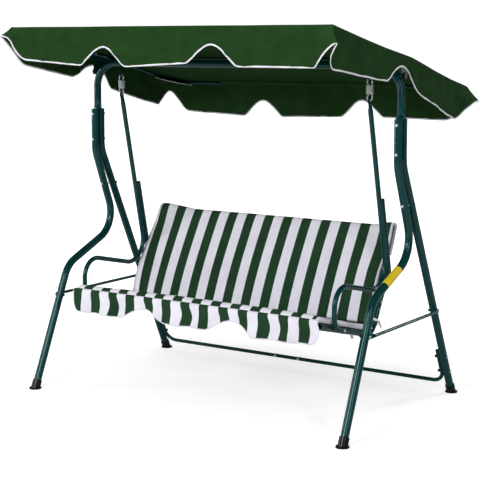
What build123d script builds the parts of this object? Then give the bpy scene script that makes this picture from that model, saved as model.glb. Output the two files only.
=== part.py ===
"""A three-seat garden swing bench with an adjustable canopy.

Millimetres, +Z up, +X to the sitter's left as seen from the front, the front faces -Y.
The origin is on the ground, in the middle of the footprint.
Depths are measured backwards from the crossbar, which the seat hangs under.
"""
from build123d import *
import math
import os

# --- stand -----------------------------------------------------------------------------------
CROSSBAR_Y = -29            # the crossbar stands this far in front of the origin
LEG_X = 750                 # plane of each pair of legs
LEG_DIAMETER = 32
WALL = 1.2
FRONT_LEG = [(-434.4, 0), (-214.5, 504.8), (115.5, 645), (-20.1, 991.5), (-20.1, 1176)]
FRONT_LEG_BENDS = [120, 120, 150]
REAR_LEG = [(498.6, 0), (20, 997.5), (20, 1176)]
REAR_LEG_BEND = 150
SOLE = 14                   # height at which a leg's axis ends inside its foot cap
FOOT_RADIUS = 26
FOOT_SLEEVE_RADIUS = 19.5
FOOT_SLEEVE_LENGTH = 38
FOOT_FLANGE = 7
PAIR_BOLT_HEIGHTS = (1041, 1153.5)
TIE_BOLT_HEIGHT = 837
HOOP_HEIGHT = 1380          # centre line of the crossbar
HOOP_BEND = 105
CROSSBAR_HALF = 640
SWAGE_DIAMETER = 29.2
SWAGE_END = 560
SWAGE_WALL = 2
FLAT_END = (22, 4)          # half width and half thickness of the hoop's pressed ends
FLAT_BOTTOM = 1022
FLAT_TOP = 1180
ROUND_START = 1216
CROSSBAR_BOLT_X = 585
BRACE_HEIGHT = 380
BRACE_DIAMETER = 13
BRACE_EYE = (4, 18)         # thickness and width of a brace's pressed end
REAR_BAR_HEIGHT = 48
REAR_BAR_TOP = 195
REAR_BAR_DIAMETER = 16
REAR_BAR_BEND = 50
REAR_BAR_JOINT_X = -50
REAR_BAR_BOLT_HEIGHTS = (98, 166)
REAR_BAR_JOINER_HALF = 90   # half length of the sleeve inside the joint
REAR_BAR_JOINT_BOLTS = 61   # its two bolts stand this far from its middle
BAND_LENGTH = 122           # plain yellow band on the right front leg
BAND_PLACE = 0.466          # its middle, as a share of the way up the sloping stretch
BAND_THICKNESS = 0.3
TAB_RADIUS = 11             # rounded lower end of a spring's hanger tab
TAB_THICKNESS = 4
BRACE_INSET = 26            # length of a brace's pressed end
BRACE_TAPER = 14
DRILL_REACH = 40            # a drilled hole runs this far beyond a tube's axis

# --- canopy ----------------------------------------------------------------------------------
PIVOT_HEIGHT = 1340
CANOPY_FRONT = (-537, 1531)
CANOPY_RIDGE = (82, 1409)
CANOPY_REAR = (595, 1284)
CANOPY_HALF = 764
CLOTH = 2.5
VALANCE_DROP = 150
SIDE_FLARE = 40
END_FLARE = 30
NOTCH_HALF = 115
NOTCH_RISE = 75
FRONT_NOTCHES = (-800, -265, 265, 800)
SIDE_NOTCHES = (-562, -18, 620)
CANOPY_TUBE = 12
CANOPY_TUBE_X = 749
CANOPY_TUBE_BEND = 400      # radius of the side tube's gentle bend at the ridge
CANOPY_TUBE_INSET = 24      # the side tubes stop this far inside the cloth's ends
TUBE_UNDER_CLOTH = 2        # gap between the roof cloth and the tubes
ELBOW_REACH = 9             # from the end of a side tube to the corner of its elbow
ELBOW_HAND = 12             # length of an elbow's moulded hand along the cross tube
SPIGOT = 40
BRACKET_INNER = CANOPY_TUBE_X + CANOPY_TUBE / 2
BRACKET_THICK = 2.5
BRACKET_SCREWS = (-18, 46)  # depths of the screws that hold a bracket
SCREW_RADIUS = 2
SCREW_HEAD = (4, 2.5)       # radius and height
PIVOT_RADIUS = 4
PIVOT_BOSS_RADIUS = 10
PIVOT_GAP = 0.3
KNOB_RADIUS = 13
KNOB_LENGTH = 12
KNOB_GROOVES = 8

# --- springs ---------------------------------------------------------------------------------
ARM_X = 614
WIRE = 4.5
COIL_RADIUS = 12.2
COIL_TURNS = 7
COIL_PITCH = 4.9
HOOK_RADIUS = 11
HOOK_TOP = 1327.8           # centre of the wire where it hangs in the crossbar's tab
HOOK_BOTTOM = 1243.2        # centre of the wire that carries the arm
HOOK_SWEEP = 245            # degrees of a full circle
EYE_RADIUS = 4.7
EYE_OFFSET = 1.8            # the eye's centre stands this far beyond the hook's wire

# --- seat ------------------------------------------------------------------------------------
ARM_DIAMETER = 20
ARM = [(0, HOOK_BOTTOM), (174, 464), (-262, 560), (-262, 392), (-196, 370)]
ARM_BENDS = [95, 75, 58]
ARM_NECK = 38               # the round tube ends this far below the hook
ARM_FLAT = (3, 12)          # half thickness and half width of its pressed end
ARM_TAPER = 20
ARM_EYE_PLATE = 11          # radius of the pressed end round its eye
FRAME_DIAMETER = 22
FRAME_WALL = 1.5
FRAME_X = 593               # plane of the side frames below their joggle
UPRIGHT_TOP = 846
CAP_HEIGHT = 2.5
JOGGLE_TOP = 538
JOGGLE_BOTTOM = 450
FRAME_BENDS = [100, 100, 60]
UPRIGHT_GAP = 22            # from an arm's centre line back to the upright's
FRONT_RAIL = (-352, 413.9)
SEAT_SLOPE = 0.26           # the seat falls this much for each millimetre backwards
BACK_SLOPE = 0.53           # the back leans this much for each millimetre upwards
FRAME_LEAN = 0.55
FRAME_AT = (145, 433)       # a point on the reclined stretch of the side frame
TOP_RAIL = (282, 702)
BACK_DIAMETER = 20
BACK_X = 571
BACK_LEG_END = 385
BACK_BEND = 45
BACK_BOLT_HEIGHTS = (398, 428)
REAR_RAIL_DEPTH = 28
RAIL_PLUG = 30
SLING = 2
PAD = 13
SEAT_PAD = 26               # the seat cushion is twice as thick as the back one
PAD_HALF = 594
SLING_HALF = 578
VALANCE_BOTTOM = 344
SEAT_NOTCHES = (-212, 212)
SEAT_NOTCH_HALF = 107
SEAT_NOTCH_RISE = 50
SEAT_FOLD = 17.5            # the seat cushion's front face stands this far before the rail's axis
VALANCE_THICKNESS = 5
POCKET_DEPTH = 70           # how far the back cushion's pocket reaches down behind the top rail
POCKET_CLOTH = 4
ARM_BOLT = (-200, 374.3)
UPRIGHT_BOLTS = (620, 800)
TIE_HEIGHT = 360
TIE_WIDTH = 8
TIE_KNOT = (9, 8, 12)
TIE_TAILS = ((-6, 60), (5, 46))     # offset and length of each tail
SEAT_TILT = math.atan(SEAT_SLOPE)
BACK_TILT = math.atan(BACK_SLOPE)
RAIL_TOP = FRAME_DIAMETER / 2

# --- fasteners -------------------------------------------------------------------------------
BOLT_RADIUS = 3
HOLE_RADIUS = 3.2
HEAD_RADIUS = 5.6
HEAD_HEIGHT = 3.4
NUT_RADIUS = 6
NUT_LENGTH = 9
THREAD = 6                  # how far a bolt reaches into its cap nut
FAR = 3000                  # longer than anything here, for cutting solids


# --- helpers ---------------------------------------------------------------------------------
def at(x, depth, height):
    """A point, with its depth measured backwards from the crossbar."""
    return (x, CROSSBAR_Y + depth, height)


def along(start, end, share):
    return tuple(a + (b - a) * share for a, b in zip(start, end))


def tube(points, bends, diameter, wall=WALL):
    """A round tube along straight runs joined by arcs."""
    route = FilletPolyline(*points, radius=bends) if bends else Polyline(*points)
    start = Plane(origin=route @ 0, z_dir=route % 0)
    outer = sweep(start * Circle(diameter / 2), path=route)
    inner = sweep(start * Circle(diameter / 2 - wall), path=route)
    return outer - inner


def rod(start, end, radius):
    """A solid round bar from one point to another."""
    axis = Vector(*end) - Vector(*start)
    plane = Plane(origin=start, z_dir=axis)
    return extrude(plane * Circle(radius), amount=axis.length)


def across_x(profile, half):
    """A profile of (depth, height) points, extruded to both sides of the middle plane."""
    face = make_face(Polyline(*[at(0, d, z) for d, z in profile], close=True))
    return extrude(face, amount=half, dir=(1, 0, 0), both=True)


def both_sides(make):
    """The same piece made for the left and mirrored from it for the right."""
    right = make()
    return (("left", mirror(right, about=Plane.YZ)), ("right", right))


def group(solids):
    return Compound(children=[Solid(s.wrapped) if isinstance(s, Solid) else s for s in solids])


def bolt(head_at, tip_at):
    """A round-headed bolt whose head sits at one end of its shank."""
    outwards = (Vector(*head_at) - Vector(*tip_at)).normalized()
    shank = rod(head_at, tip_at, BOLT_RADIUS)
    crown = Vector(*head_at) + outwards * HEAD_HEIGHT
    head = rod(head_at, tuple(crown), HEAD_RADIUS)
    rim = head.edges().filter_by(GeomType.CIRCLE).sort_by_distance(crown)[0]
    return shank + fillet(rim, HEAD_HEIGHT * 0.7)


def cap_nut(seat_at, outwards):
    """A domed nut with its thread bored, seated against a surface."""
    out = Vector(*outwards).normalized()
    seat = Vector(*seat_at)
    body = rod(tuple(seat), tuple(seat + out * NUT_LENGTH), NUT_RADIUS)
    rim = body.edges().filter_by(GeomType.CIRCLE).sort_by_distance(seat + out * NUT_LENGTH)[0]
    bore = rod(tuple(seat - out), tuple(seat + out * (THREAD + 0.5)), BOLT_RADIUS)
    return fillet(rim, NUT_RADIUS * 0.7) - bore


def drill(solid, start, end, radius=HOLE_RADIUS):
    return solid - rod(start, end, radius)


def drill_across(solid, x, depth, height, radius=HOLE_RADIUS):
    """A hole along X through whatever stands at one place."""
    return drill(solid, at(x - DRILL_REACH, depth, height), at(x + DRILL_REACH, depth, height), radius)


def drill_deep(solid, x, height):
    """A hole along Y through the tubes that meet at one height above the crossbar's middle line."""
    return drill(solid, at(x, -3 * DRILL_REACH, height), at(x, 5 * DRILL_REACH, height))


def line_depth(low, high, height):
    """Depth of the straight line between two (depth, height) points at one height."""
    share = (height - low[1]) / (high[1] - low[1])
    return low[0] + (high[0] - low[0]) * share


# --- stand -----------------------------------------------------------------------------------
def front_leg():
    start = (line_depth(FRONT_LEG[0], FRONT_LEG[1], SOLE), SOLE)
    points = [at(LEG_X, d, z) for d, z in [start] + FRONT_LEG[1:]]
    leg = tube(points, FRONT_LEG_BENDS, LEG_DIAMETER)
    return drill_leg(leg, line_depth(FRONT_LEG[0], FRONT_LEG[1], BRACE_HEIGHT))


def rear_leg():
    start = (line_depth(REAR_LEG[0], REAR_LEG[1], SOLE), SOLE)
    points = [at(LEG_X, d, z) for d, z in [start] + REAR_LEG[1:]]
    leg = tube(points, REAR_LEG_BEND, LEG_DIAMETER)
    for height in REAR_BAR_BOLT_HEIGHTS:
        depth = line_depth(REAR_LEG[0], REAR_LEG[1], height)
        leg = drill_across(leg, LEG_X, depth, height)
    return drill_leg(leg, line_depth(REAR_LEG[0], REAR_LEG[1], BRACE_HEIGHT))


def drill_leg(leg, brace_depth):
    """The holes that every leg has: those of the pair, the tie bolt and the brace."""
    for height in PAIR_BOLT_HEIGHTS + (TIE_BOLT_HEIGHT,):
        leg = drill_deep(leg, LEG_X, height)
    return drill_across(leg, LEG_X, brace_depth, BRACE_HEIGHT)


def foot_cap(leg_points):
    """A moulded cap: a sleeve in line with the leg on a flange that lies on the ground."""
    ground, knee = leg_points[0], leg_points[1]
    lean = (Vector(*at(LEG_X, *knee)) - Vector(*at(LEG_X, *ground))).normalized()
    foot = Vector(*at(LEG_X, *ground))
    sleeve = rod(tuple(foot - lean * FOOT_SLEEVE_RADIUS), tuple(foot + lean * FOOT_SLEEVE_LENGTH),
                 FOOT_SLEEVE_RADIUS)
    flange = rod(tuple(foot), tuple(foot + Vector(0, 0, FOOT_FLANGE)), FOOT_RADIUS)
    rim = flange.edges().filter_by(GeomType.CIRCLE).sort_by(Axis.Z)[-1]
    flange = fillet(rim, FOOT_FLANGE * 0.6)
    above = Pos(foot.X, foot.Y, FAR / 2) * Box(FAR, FAR, FAR)
    start = foot + lean * (SOLE / lean.Z)
    bore = rod(tuple(start), tuple(start + lean * FAR / 10), LEG_DIAMETER / 2)
    return (sleeve & above) + flange - bore


def hoop_corner():
    """One end of the top hoop: pressed flat between its legs, bent, and swaged into the crossbar."""
    route = [at(LEG_X, 0, ROUND_START), at(LEG_X, 0, HOOP_HEIGHT), at(CROSSBAR_HALF + 1, 0, HOOP_HEIGHT)]
    bend = tube(route, HOOP_BEND, LEG_DIAMETER)
    swage = tube([at(CROSSBAR_HALF + 1, 0, HOOP_HEIGHT), at(SWAGE_END, 0, HOOP_HEIGHT)], None,
                 SWAGE_DIAMETER, SWAGE_WALL)
    collar = tube([at(CROSSBAR_HALF + 1, 0, HOOP_HEIGHT), at(CROSSBAR_HALF + 3, 0, HOOP_HEIGHT)], None,
                  LEG_DIAMETER, (LEG_DIAMETER - SWAGE_DIAMETER) / 2 + SWAGE_WALL)
    round_end = Plane(at(LEG_X, 0, ROUND_START)) * Circle(LEG_DIAMETER / 2)
    flat_end = Plane(at(LEG_X, 0, FLAT_TOP)) * Ellipse(*FLAT_END)
    pressed = loft([flat_end, round_end])
    flat = extrude(flat_end, amount=FLAT_BOTTOM - FLAT_TOP)
    hoop = bend + swage + collar + pressed + flat
    for height in PAIR_BOLT_HEIGHTS:
        hoop = drill_deep(hoop, LEG_X, height)
    return drill_crossbar(hoop, CROSSBAR_BOLT_X)


def drill_crossbar(solid, x):
    return drill(solid, at(x, 0, HOOP_HEIGHT - DRILL_REACH), at(x, 0, HOOP_HEIGHT + DRILL_REACH))


def crossbar():
    bar = tube([at(-CROSSBAR_HALF, 0, HOOP_HEIGHT), at(CROSSBAR_HALF, 0, HOOP_HEIGHT)], None, LEG_DIAMETER)
    return drill_crossbar(drill_crossbar(bar, -CROSSBAR_BOLT_X), CROSSBAR_BOLT_X)


def hanger_tab():
    """The plate under the crossbar that a spring hooks into."""
    eye_height = HOOK_TOP + EYE_OFFSET
    half = TAB_THICKNESS / 2
    middle = at(ARM_X, 0, (eye_height + HOOP_HEIGHT) / 2)
    plate = Pos(*middle) * Box(TAB_THICKNESS, 2 * TAB_RADIUS, HOOP_HEIGHT - eye_height)
    plate += rod(at(ARM_X - half, 0, eye_height), at(ARM_X + half, 0, eye_height), TAB_RADIUS)
    bar = rod(at(0, 0, HOOP_HEIGHT), at(FAR, 0, HOOP_HEIGHT), LEG_DIAMETER / 2)
    return drill_across(plate - bar, ARM_X, 0, eye_height, EYE_RADIUS)


def brace_ends():
    return (line_depth(FRONT_LEG[0], FRONT_LEG[1], BRACE_HEIGHT),
            line_depth(REAR_LEG[0], REAR_LEG[1], BRACE_HEIGHT))


def brace():
    """The level tube between the legs of one side, with pressed ends on their outer faces."""
    thickness, width = BRACE_EYE
    face = LEG_X + LEG_DIAMETER / 2
    front, rear = brace_ends()
    inset = BRACE_INSET
    axis = face + BRACE_DIAMETER / 2
    route = [at(axis, front + inset, BRACE_HEIGHT), at(axis, rear - inset, BRACE_HEIGHT)]
    bar = tube(route, None, BRACE_DIAMETER)
    for end, inward in ((front, 1), (rear, -1)):
        middle = at(face + thickness / 2, end + inward * inset / 2, BRACE_HEIGHT)
        eye = Pos(*middle) * Box(thickness, inset, width)
        eye += rod(at(face, end, BRACE_HEIGHT), at(face + thickness, end, BRACE_HEIGHT), width / 2)
        edge = Plane(origin=at(axis, end + inward * (inset + BRACE_TAPER), BRACE_HEIGHT), z_dir=(0, -inward, 0))
        flat = Plane(origin=at(face + thickness / 2, end + inward * inset, BRACE_HEIGHT),
                     x_dir=(0, 0, 1), z_dir=(0, -inward, 0))
        eye += loft([edge * Circle(BRACE_DIAMETER / 2), flat * Ellipse(width / 2, thickness / 2)])
        bar += eye
        bar = drill_across(bar, face, end, BRACE_HEIGHT)
    return bar


def rear_bar_route(end_x):
    """From the joint near the middle, round the low bend and up the inner face of a rear leg."""
    inner = LEG_X - LEG_DIAMETER / 2 - REAR_BAR_DIAMETER / 2
    sign = math.copysign(1, end_x)
    low = at(sign * inner, line_depth(REAR_LEG[0], REAR_LEG[1], REAR_BAR_HEIGHT), REAR_BAR_HEIGHT)
    top = at(sign * inner, line_depth(REAR_LEG[0], REAR_LEG[1], REAR_BAR_TOP), REAR_BAR_TOP)
    return [(REAR_BAR_JOINT_X, low[1], low[2]), low, top]


def rear_bar(end_x):
    bar = tube(rear_bar_route(end_x), REAR_BAR_BEND, REAR_BAR_DIAMETER)
    inner = math.copysign(LEG_X - LEG_DIAMETER / 2 - REAR_BAR_DIAMETER / 2, end_x)
    for height in REAR_BAR_BOLT_HEIGHTS:
        depth = line_depth(REAR_LEG[0], REAR_LEG[1], height)
        bar = drill_across(bar, inner, depth, height)
    return drill_rear_joint(bar)


def rear_joint_points():
    low = rear_bar_route(1)[0]
    offsets = (-REAR_BAR_JOINT_BOLTS, REAR_BAR_JOINT_BOLTS)
    return [(REAR_BAR_JOINT_X + offset, low[1], low[2]) for offset in offsets]


def drill_rear_joint(solid):
    for x, y, z in rear_joint_points():
        solid = drill(solid, (x, y - REAR_BAR_DIAMETER, z), (x, y + REAR_BAR_DIAMETER, z))
    return solid


def rear_bar_joiner():
    """The short inner sleeve that joins the two halves of the rear bar."""
    low = rear_bar_route(1)[0]
    bore = REAR_BAR_DIAMETER - 2 * WALL
    offsets = (-REAR_BAR_JOINER_HALF, REAR_BAR_JOINER_HALF)
    ends = [(REAR_BAR_JOINT_X + offset, low[1], low[2]) for offset in offsets]
    return drill_rear_joint(tube(ends, None, bore))


def leg_band():
    """A plain yellow film round the sloping stretch of the right front leg."""
    knee, elbow = FRONT_LEG[1], FRONT_LEG[2]
    share = BAND_LENGTH / 2 / math.dist(knee, elbow)
    start = at(LEG_X, *along(knee, elbow, BAND_PLACE - share))
    end = at(LEG_X, *along(knee, elbow, BAND_PLACE + share))
    return rod(start, end, LEG_DIAMETER / 2 + BAND_THICKNESS) - rod(start, end, LEG_DIAMETER / 2)


def slanted_reach(low, high, seat_radius):
    """How far from a slanting leg's axis a level bolt's head or nut first touches the leg."""
    lean = math.atan2(abs(high[0] - low[0]), high[1] - low[1])
    return (LEG_DIAMETER / 2 + seat_radius * math.sin(lean)) / math.cos(lean) + 0.1


def leg_bolts():
    """Three bolts a side, from front to rear: two through the pressed hoop end and one tie bolt."""
    bolts, nuts = [], []
    radius = LEG_DIAMETER / 2
    for x in (-LEG_X, LEG_X):
        spans = [(height, FRONT_LEG[-1][0] - radius, REAR_LEG[-1][0] + radius) for height in PAIR_BOLT_HEIGHTS]
        front = line_depth(FRONT_LEG[2], FRONT_LEG[3], TIE_BOLT_HEIGHT)
        front -= slanted_reach(FRONT_LEG[2], FRONT_LEG[3], HEAD_RADIUS)
        rear = line_depth(REAR_LEG[0], REAR_LEG[1], TIE_BOLT_HEIGHT)
        rear += slanted_reach(REAR_LEG[0], REAR_LEG[1], NUT_RADIUS)
        spans.append((TIE_BOLT_HEIGHT, front, rear))
        for height, start, end in spans:
            bolts.append(bolt(at(x, start, height), at(x, end + THREAD, height)))
            nuts.append(cap_nut(at(x, end, height), (0, 1, 0)))
    return bolts, nuts


def side_bolts(x_head, x_nut, places):
    """Bolts along X at (depth, height) places, heads outside and cap nuts inside, on both sides."""
    bolts, nuts = [], []
    for sign in (-1, 1):
        for depth, height in places:
            bolts.append(bolt(at(sign * x_head, depth, height), at(sign * (x_nut - THREAD), depth, height)))
            nuts.append(cap_nut(at(sign * x_nut, depth, height), (-sign, 0, 0)))
    return bolts, nuts


def brace_bolts():
    front, rear = brace_ends()
    head = LEG_X + LEG_DIAMETER / 2 + BRACE_EYE[0]
    return side_bolts(head, LEG_X - LEG_DIAMETER / 2, [(front, BRACE_HEIGHT), (rear, BRACE_HEIGHT)])


def rear_bar_bolts():
    places = [(line_depth(REAR_LEG[0], REAR_LEG[1], z), z) for z in REAR_BAR_BOLT_HEIGHTS]
    inner = LEG_X - LEG_DIAMETER / 2 - REAR_BAR_DIAMETER
    bolts, nuts = side_bolts(LEG_X + LEG_DIAMETER / 2, inner, places)
    for x, y, z in rear_joint_points():
        radius = REAR_BAR_DIAMETER / 2
        bolts.append(bolt((x, y - radius, z), (x, y + radius + THREAD, z)))
        nuts.append(cap_nut((x, y + radius, z), (0, 1, 0)))
    return bolts, nuts


def crossbar_bolts():
    bolts, nuts = [], []
    radius = LEG_DIAMETER / 2
    for x in (-CROSSBAR_BOLT_X, CROSSBAR_BOLT_X):
        bolts.append(bolt(at(x, 0, HOOP_HEIGHT - radius), at(x, 0, HOOP_HEIGHT + radius + THREAD)))
        nuts.append(cap_nut(at(x, 0, HOOP_HEIGHT + radius), (0, 0, 1)))
    return bolts, nuts


# --- canopy ----------------------------------------------------------------------------------
def roof_height(depth):
    """Height of the canopy's outer surface over one depth, on the middle plane."""
    if depth < CANOPY_RIDGE[0]:
        return line_height(CANOPY_FRONT, CANOPY_RIDGE, depth)
    return line_height(CANOPY_RIDGE, CANOPY_REAR, depth)


def line_height(front, rear, depth):
    return front[1] + (rear[1] - front[1]) * (depth - front[0]) / (rear[0] - front[0])


def pivot_boss():
    """The post on each bend of the hoop that the canopy bracket turns on."""
    post = rod(at(LEG_X - DRILL_REACH, 0, PIVOT_HEIGHT), at(BRACKET_INNER - PIVOT_GAP, 0, PIVOT_HEIGHT),
               PIVOT_BOSS_RADIUS)
    route = [at(LEG_X, 0, ROUND_START), at(LEG_X, 0, HOOP_HEIGHT), at(CROSSBAR_HALF, 0, HOOP_HEIGHT)]
    path = FilletPolyline(*route, radius=HOOP_BEND)
    elbow = sweep(Plane(origin=path @ 0, z_dir=path % 0) * Circle(LEG_DIAMETER / 2), path=path)
    return (post - elbow).solids().sort_by(Axis.X)[-1]


def pivot_knob():
    """The clamp knob with its stud, which passes the bracket and ends on the boss."""
    outer = BRACKET_INNER + BRACKET_THICK + PIVOT_GAP + 0.1
    end = outer + KNOB_LENGTH
    stud = rod(at(BRACKET_INNER - PIVOT_GAP, 0, PIVOT_HEIGHT), at(outer, 0, PIVOT_HEIGHT), PIVOT_RADIUS)
    body = rod(at(outer, 0, PIVOT_HEIGHT), at(end, 0, PIVOT_HEIGHT), KNOB_RADIUS)
    rim = body.edges().filter_by(GeomType.CIRCLE).sort_by(Axis.X)[-1]
    knob = fillet(rim, KNOB_LENGTH / 4)
    reach = KNOB_RADIUS + 2
    for step in range(KNOB_GROOVES):
        turn = 2 * math.pi * step / KNOB_GROOVES
        groove = at(0, reach * math.cos(turn), PIVOT_HEIGHT + reach * math.sin(turn))
        knob -= rod((outer - 1, groove[1], groove[2]), (end + 1, groove[1], groove[2]), PIVOT_RADIUS)
    return knob + stud


def canopy_bracket():
    """A stepped plate, screwed to the side tube, that hangs down to the pivot."""
    top = [(-34, roof_height(-34) - 3), (62, roof_height(62) - 3)]
    outline = [top[0], top[1], (62, roof_height(62) - 21), (46, 1378), (46, 1352), (18, 1330),
               (-18, 1330), (-18, 1378), (-34, roof_height(-34) - 21)]
    face = make_face(Polyline(*[at(BRACKET_INNER, d, z) for d, z in outline], close=True))
    plate = extrude(face, amount=BRACKET_THICK, dir=(1, 0, 0))
    plate = drill_across(plate, BRACKET_INNER, 0, PIVOT_HEIGHT, PIVOT_RADIUS + 0.05)
    return drill_bracket_screws(plate)


def drill_bracket_screws(solid):
    for depth, height in bracket_screw_places():
        solid = drill_across(solid, CANOPY_TUBE_X, depth, height, SCREW_RADIUS + 0.2)
    return solid


def bracket_screw_places():
    return [(depth, side_tube_height(depth)) for depth in BRACKET_SCREWS]


def side_tube_height(depth):
    """Centre of the canopy's side tube, which lies just under the cloth."""
    return roof_height(depth) - CLOTH - CANOPY_TUBE / 2 - TUBE_UNDER_CLOTH


def side_tube_points():
    front, rear = CANOPY_FRONT[0] + CANOPY_TUBE_INSET, CANOPY_REAR[0] - CANOPY_TUBE_INSET
    return [(d, side_tube_height(d)) for d in (front, CANOPY_RIDGE[0], rear)]


def canopy_side_tube():
    route = [at(CANOPY_TUBE_X, d, z) for d, z in side_tube_points()]
    return drill_bracket_screws(tube(route, CANOPY_TUBE_BEND, CANOPY_TUBE))


def canopy_cross_tube(depth, height, half):
    return tube([at(-half, depth, height), at(half, depth, height)], None, CANOPY_TUBE)


def inward_slope(place):
    """The sign of the way from an end of a side tube to the ridge, and the tube's rise that way."""
    depth, height = place
    inward = math.copysign(1, CANOPY_RIDGE[0] - depth)
    return inward, (side_tube_height(depth + inward * SPIGOT) - height) / SPIGOT


def elbow_place(place):
    """Depth and height of an elbow's corner, in line with the end of its side tube."""
    inward, slope = inward_slope(place)
    return (place[0] - inward * ELBOW_REACH, place[1] - slope * ELBOW_REACH)


def canopy_corner(place):
    """A moulded elbow with one spigot in the side tube and one in the end tube."""
    corner = Vector(*at(CANOPY_TUBE_X, *elbow_place(place)))
    outer = CANOPY_TUBE / 2 + 1
    elbow = Pos(*corner) * Sphere(outer)
    inward, slope = inward_slope(place)
    hands = ((Vector(0, inward, slope).normalized(), ELBOW_REACH), (Vector(-1, 0, 0), ELBOW_HAND))
    for way, hand in hands:
        elbow += rod(tuple(corner), tuple(corner + way * hand), outer)
        elbow += rod(tuple(corner), tuple(corner + way * SPIGOT), CANOPY_TUBE / 2 - WALL)
    return elbow


def end_tube_places():
    """Depth and height of the front and rear tubes, in line with the corner elbows."""
    return [elbow_place(place) for place in (side_tube_points()[0], side_tube_points()[-1])]


def bell(width_half, rise, below):
    """A bell-shaped outline in the local XY plane, its foot on y = 0, with room below it."""
    left = Bezier((-width_half, 0), (-width_half * 0.5, 0), (-width_half * 0.45, rise), (0, rise))
    right = Bezier((0, rise), (width_half * 0.45, rise), (width_half * 0.5, 0), (width_half, 0))
    base = Polyline((width_half, 0), (width_half, -below), (-width_half, -below), (-width_half, 0))
    return make_face([left, right, base])


def hood(inset):
    """The canopy's outer form, closed at the bottom, pulled in on every side by inset."""
    front, ridge, rear = CANOPY_FRONT, CANOPY_RIDGE, CANOPY_REAR
    deep = VALANCE_DROP + (40 if inset else 0)
    flare = END_FLARE * deep / VALANCE_DROP
    profile = [(front[0] + inset, front[1] - inset), (ridge[0], ridge[1] - inset),
               (rear[0] - inset, rear[1] - inset), (rear[0] + flare - inset, rear[1] - deep),
               (front[0] - flare + inset, front[1] - deep)]
    body = across_x(profile, FAR / 2)
    run = math.hypot(rear[0] - front[0], rear[1] - front[1])
    down_the_roof = (0, (rear[0] - front[0]) / run, (rear[1] - front[1]) / run)
    section = Plane(origin=at(0, *front), x_dir=(1, 0, 0), z_dir=down_the_roof)
    rate = SIDE_FLARE / VALANCE_DROP
    top, bottom = -60, 500
    half = CANOPY_HALF - inset
    corners = [(-half - rate * top, top), (half + rate * top, top),
               (half + rate * bottom, bottom), (-half - rate * bottom, bottom)]
    wedge = extrude(section * make_face(Polyline(*corners, close=True)), amount=FAR, both=True)
    return body & wedge


def canopy_cover():
    """The cloth: a roof in two flat fields and four flared valances with scalloped hems."""
    cover = hood(0) - hood(CLOTH)
    for x in FRONT_NOTCHES:
        for place, span in ((CANOPY_FRONT, (-60, 8)), (CANOPY_REAR, (-8, 60))):
            hem = Plane(origin=at(x, place[0] + span[0], place[1] - VALANCE_DROP),
                        x_dir=(1, 0, 0), z_dir=(0, -1, 0))
            cover -= extrude(hem * bell(NOTCH_HALF, NOTCH_RISE, 80), amount=span[0] - span[1])
    slope = (CANOPY_REAR[1] - CANOPY_FRONT[1]) / (CANOPY_REAR[0] - CANOPY_FRONT[0])
    for depth in SIDE_NOTCHES:
        for sign in (-1, 1):
            height = line_height(CANOPY_FRONT, CANOPY_REAR, depth) - VALANCE_DROP + 4
            hem = Plane(origin=at(sign * (CANOPY_HALF - 4), depth, height),
                        x_dir=(0, 1, slope), z_dir=(1, 0, 0))
            cover -= extrude(hem * bell(NOTCH_HALF, NOTCH_RISE, 80), amount=sign * 100)
    return cover


def bracket_screws():
    """Pan-head screws from inside the side tubes into the brackets."""
    screws = []
    for sign in (-1, 1):
        for depth, height in bracket_screw_places():
            inner = sign * (CANOPY_TUBE_X - CANOPY_TUBE / 2)
            outer = sign * (BRACKET_INNER + BRACKET_THICK)
            screw = rod(at(inner, depth, height), at(outer, depth, height), SCREW_RADIUS)
            crown = inner - sign * SCREW_HEAD[1]
            screw += rod(at(crown, depth, height), at(inner, depth, height), SCREW_HEAD[0])
            screws.append(screw)
    return screws


# --- springs ---------------------------------------------------------------------------------
def spring_coil():
    """A close-wound extension spring."""
    height = COIL_TURNS * COIL_PITCH
    middle = (HOOK_TOP + HOOK_BOTTOM) / 2
    route = Pos(*at(ARM_X, 0, middle - height / 2)) * Helix(COIL_PITCH, height, COIL_RADIUS)
    section = Plane(origin=route @ 0, z_dir=route % 0) * Circle(WIRE / 2)
    return sweep(section, path=route, is_frenet=True)


def spring_hook(upwards):
    """The open loop at one end of a spring: a short leg on the coil, then most of a circle."""
    sign = 1 if upwards else -1
    crown = HOOK_TOP if upwards else HOOK_BOTTOM
    centre = crown - sign * HOOK_RADIUS
    middle = (HOOK_TOP + HOOK_BOTTOM) / 2
    foot = middle + sign * (COIL_TURNS * COIL_PITCH / 2 + WIRE / 2 + 0.1)
    frame = Plane(origin=at(ARM_X, 0, centre), x_dir=(1, 0, 0), z_dir=(0, -sign, 0))
    leg = Line((HOOK_RADIUS, -abs(centre - foot)), (HOOK_RADIUS, 0))
    loop = CenterArc((0, 0), HOOK_RADIUS, 0, HOOK_SWEEP)
    route = frame * (leg + loop)
    section = Plane(origin=route @ 0, z_dir=route % 0) * Circle(WIRE / 2)
    return sweep(section, path=route)


# --- seat ------------------------------------------------------------------------------------
def seat_point(back, above):
    """(depth, height) of a point behind the front rail, measured in the sloping plane of the seat."""
    depth = FRONT_RAIL[0] + back * math.cos(SEAT_TILT) + above * math.sin(SEAT_TILT)
    height = FRONT_RAIL[1] - back * math.sin(SEAT_TILT) + above * math.cos(SEAT_TILT)
    return (depth, height)


def back_point(down, front):
    """(depth, height) of a point below the top rail, measured in the reclined plane of the back."""
    depth = TOP_RAIL[0] - down * math.sin(BACK_TILT) - front * math.cos(BACK_TILT)
    height = TOP_RAIL[1] - down * math.cos(BACK_TILT) + front * math.sin(BACK_TILT)
    return (depth, height)


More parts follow.
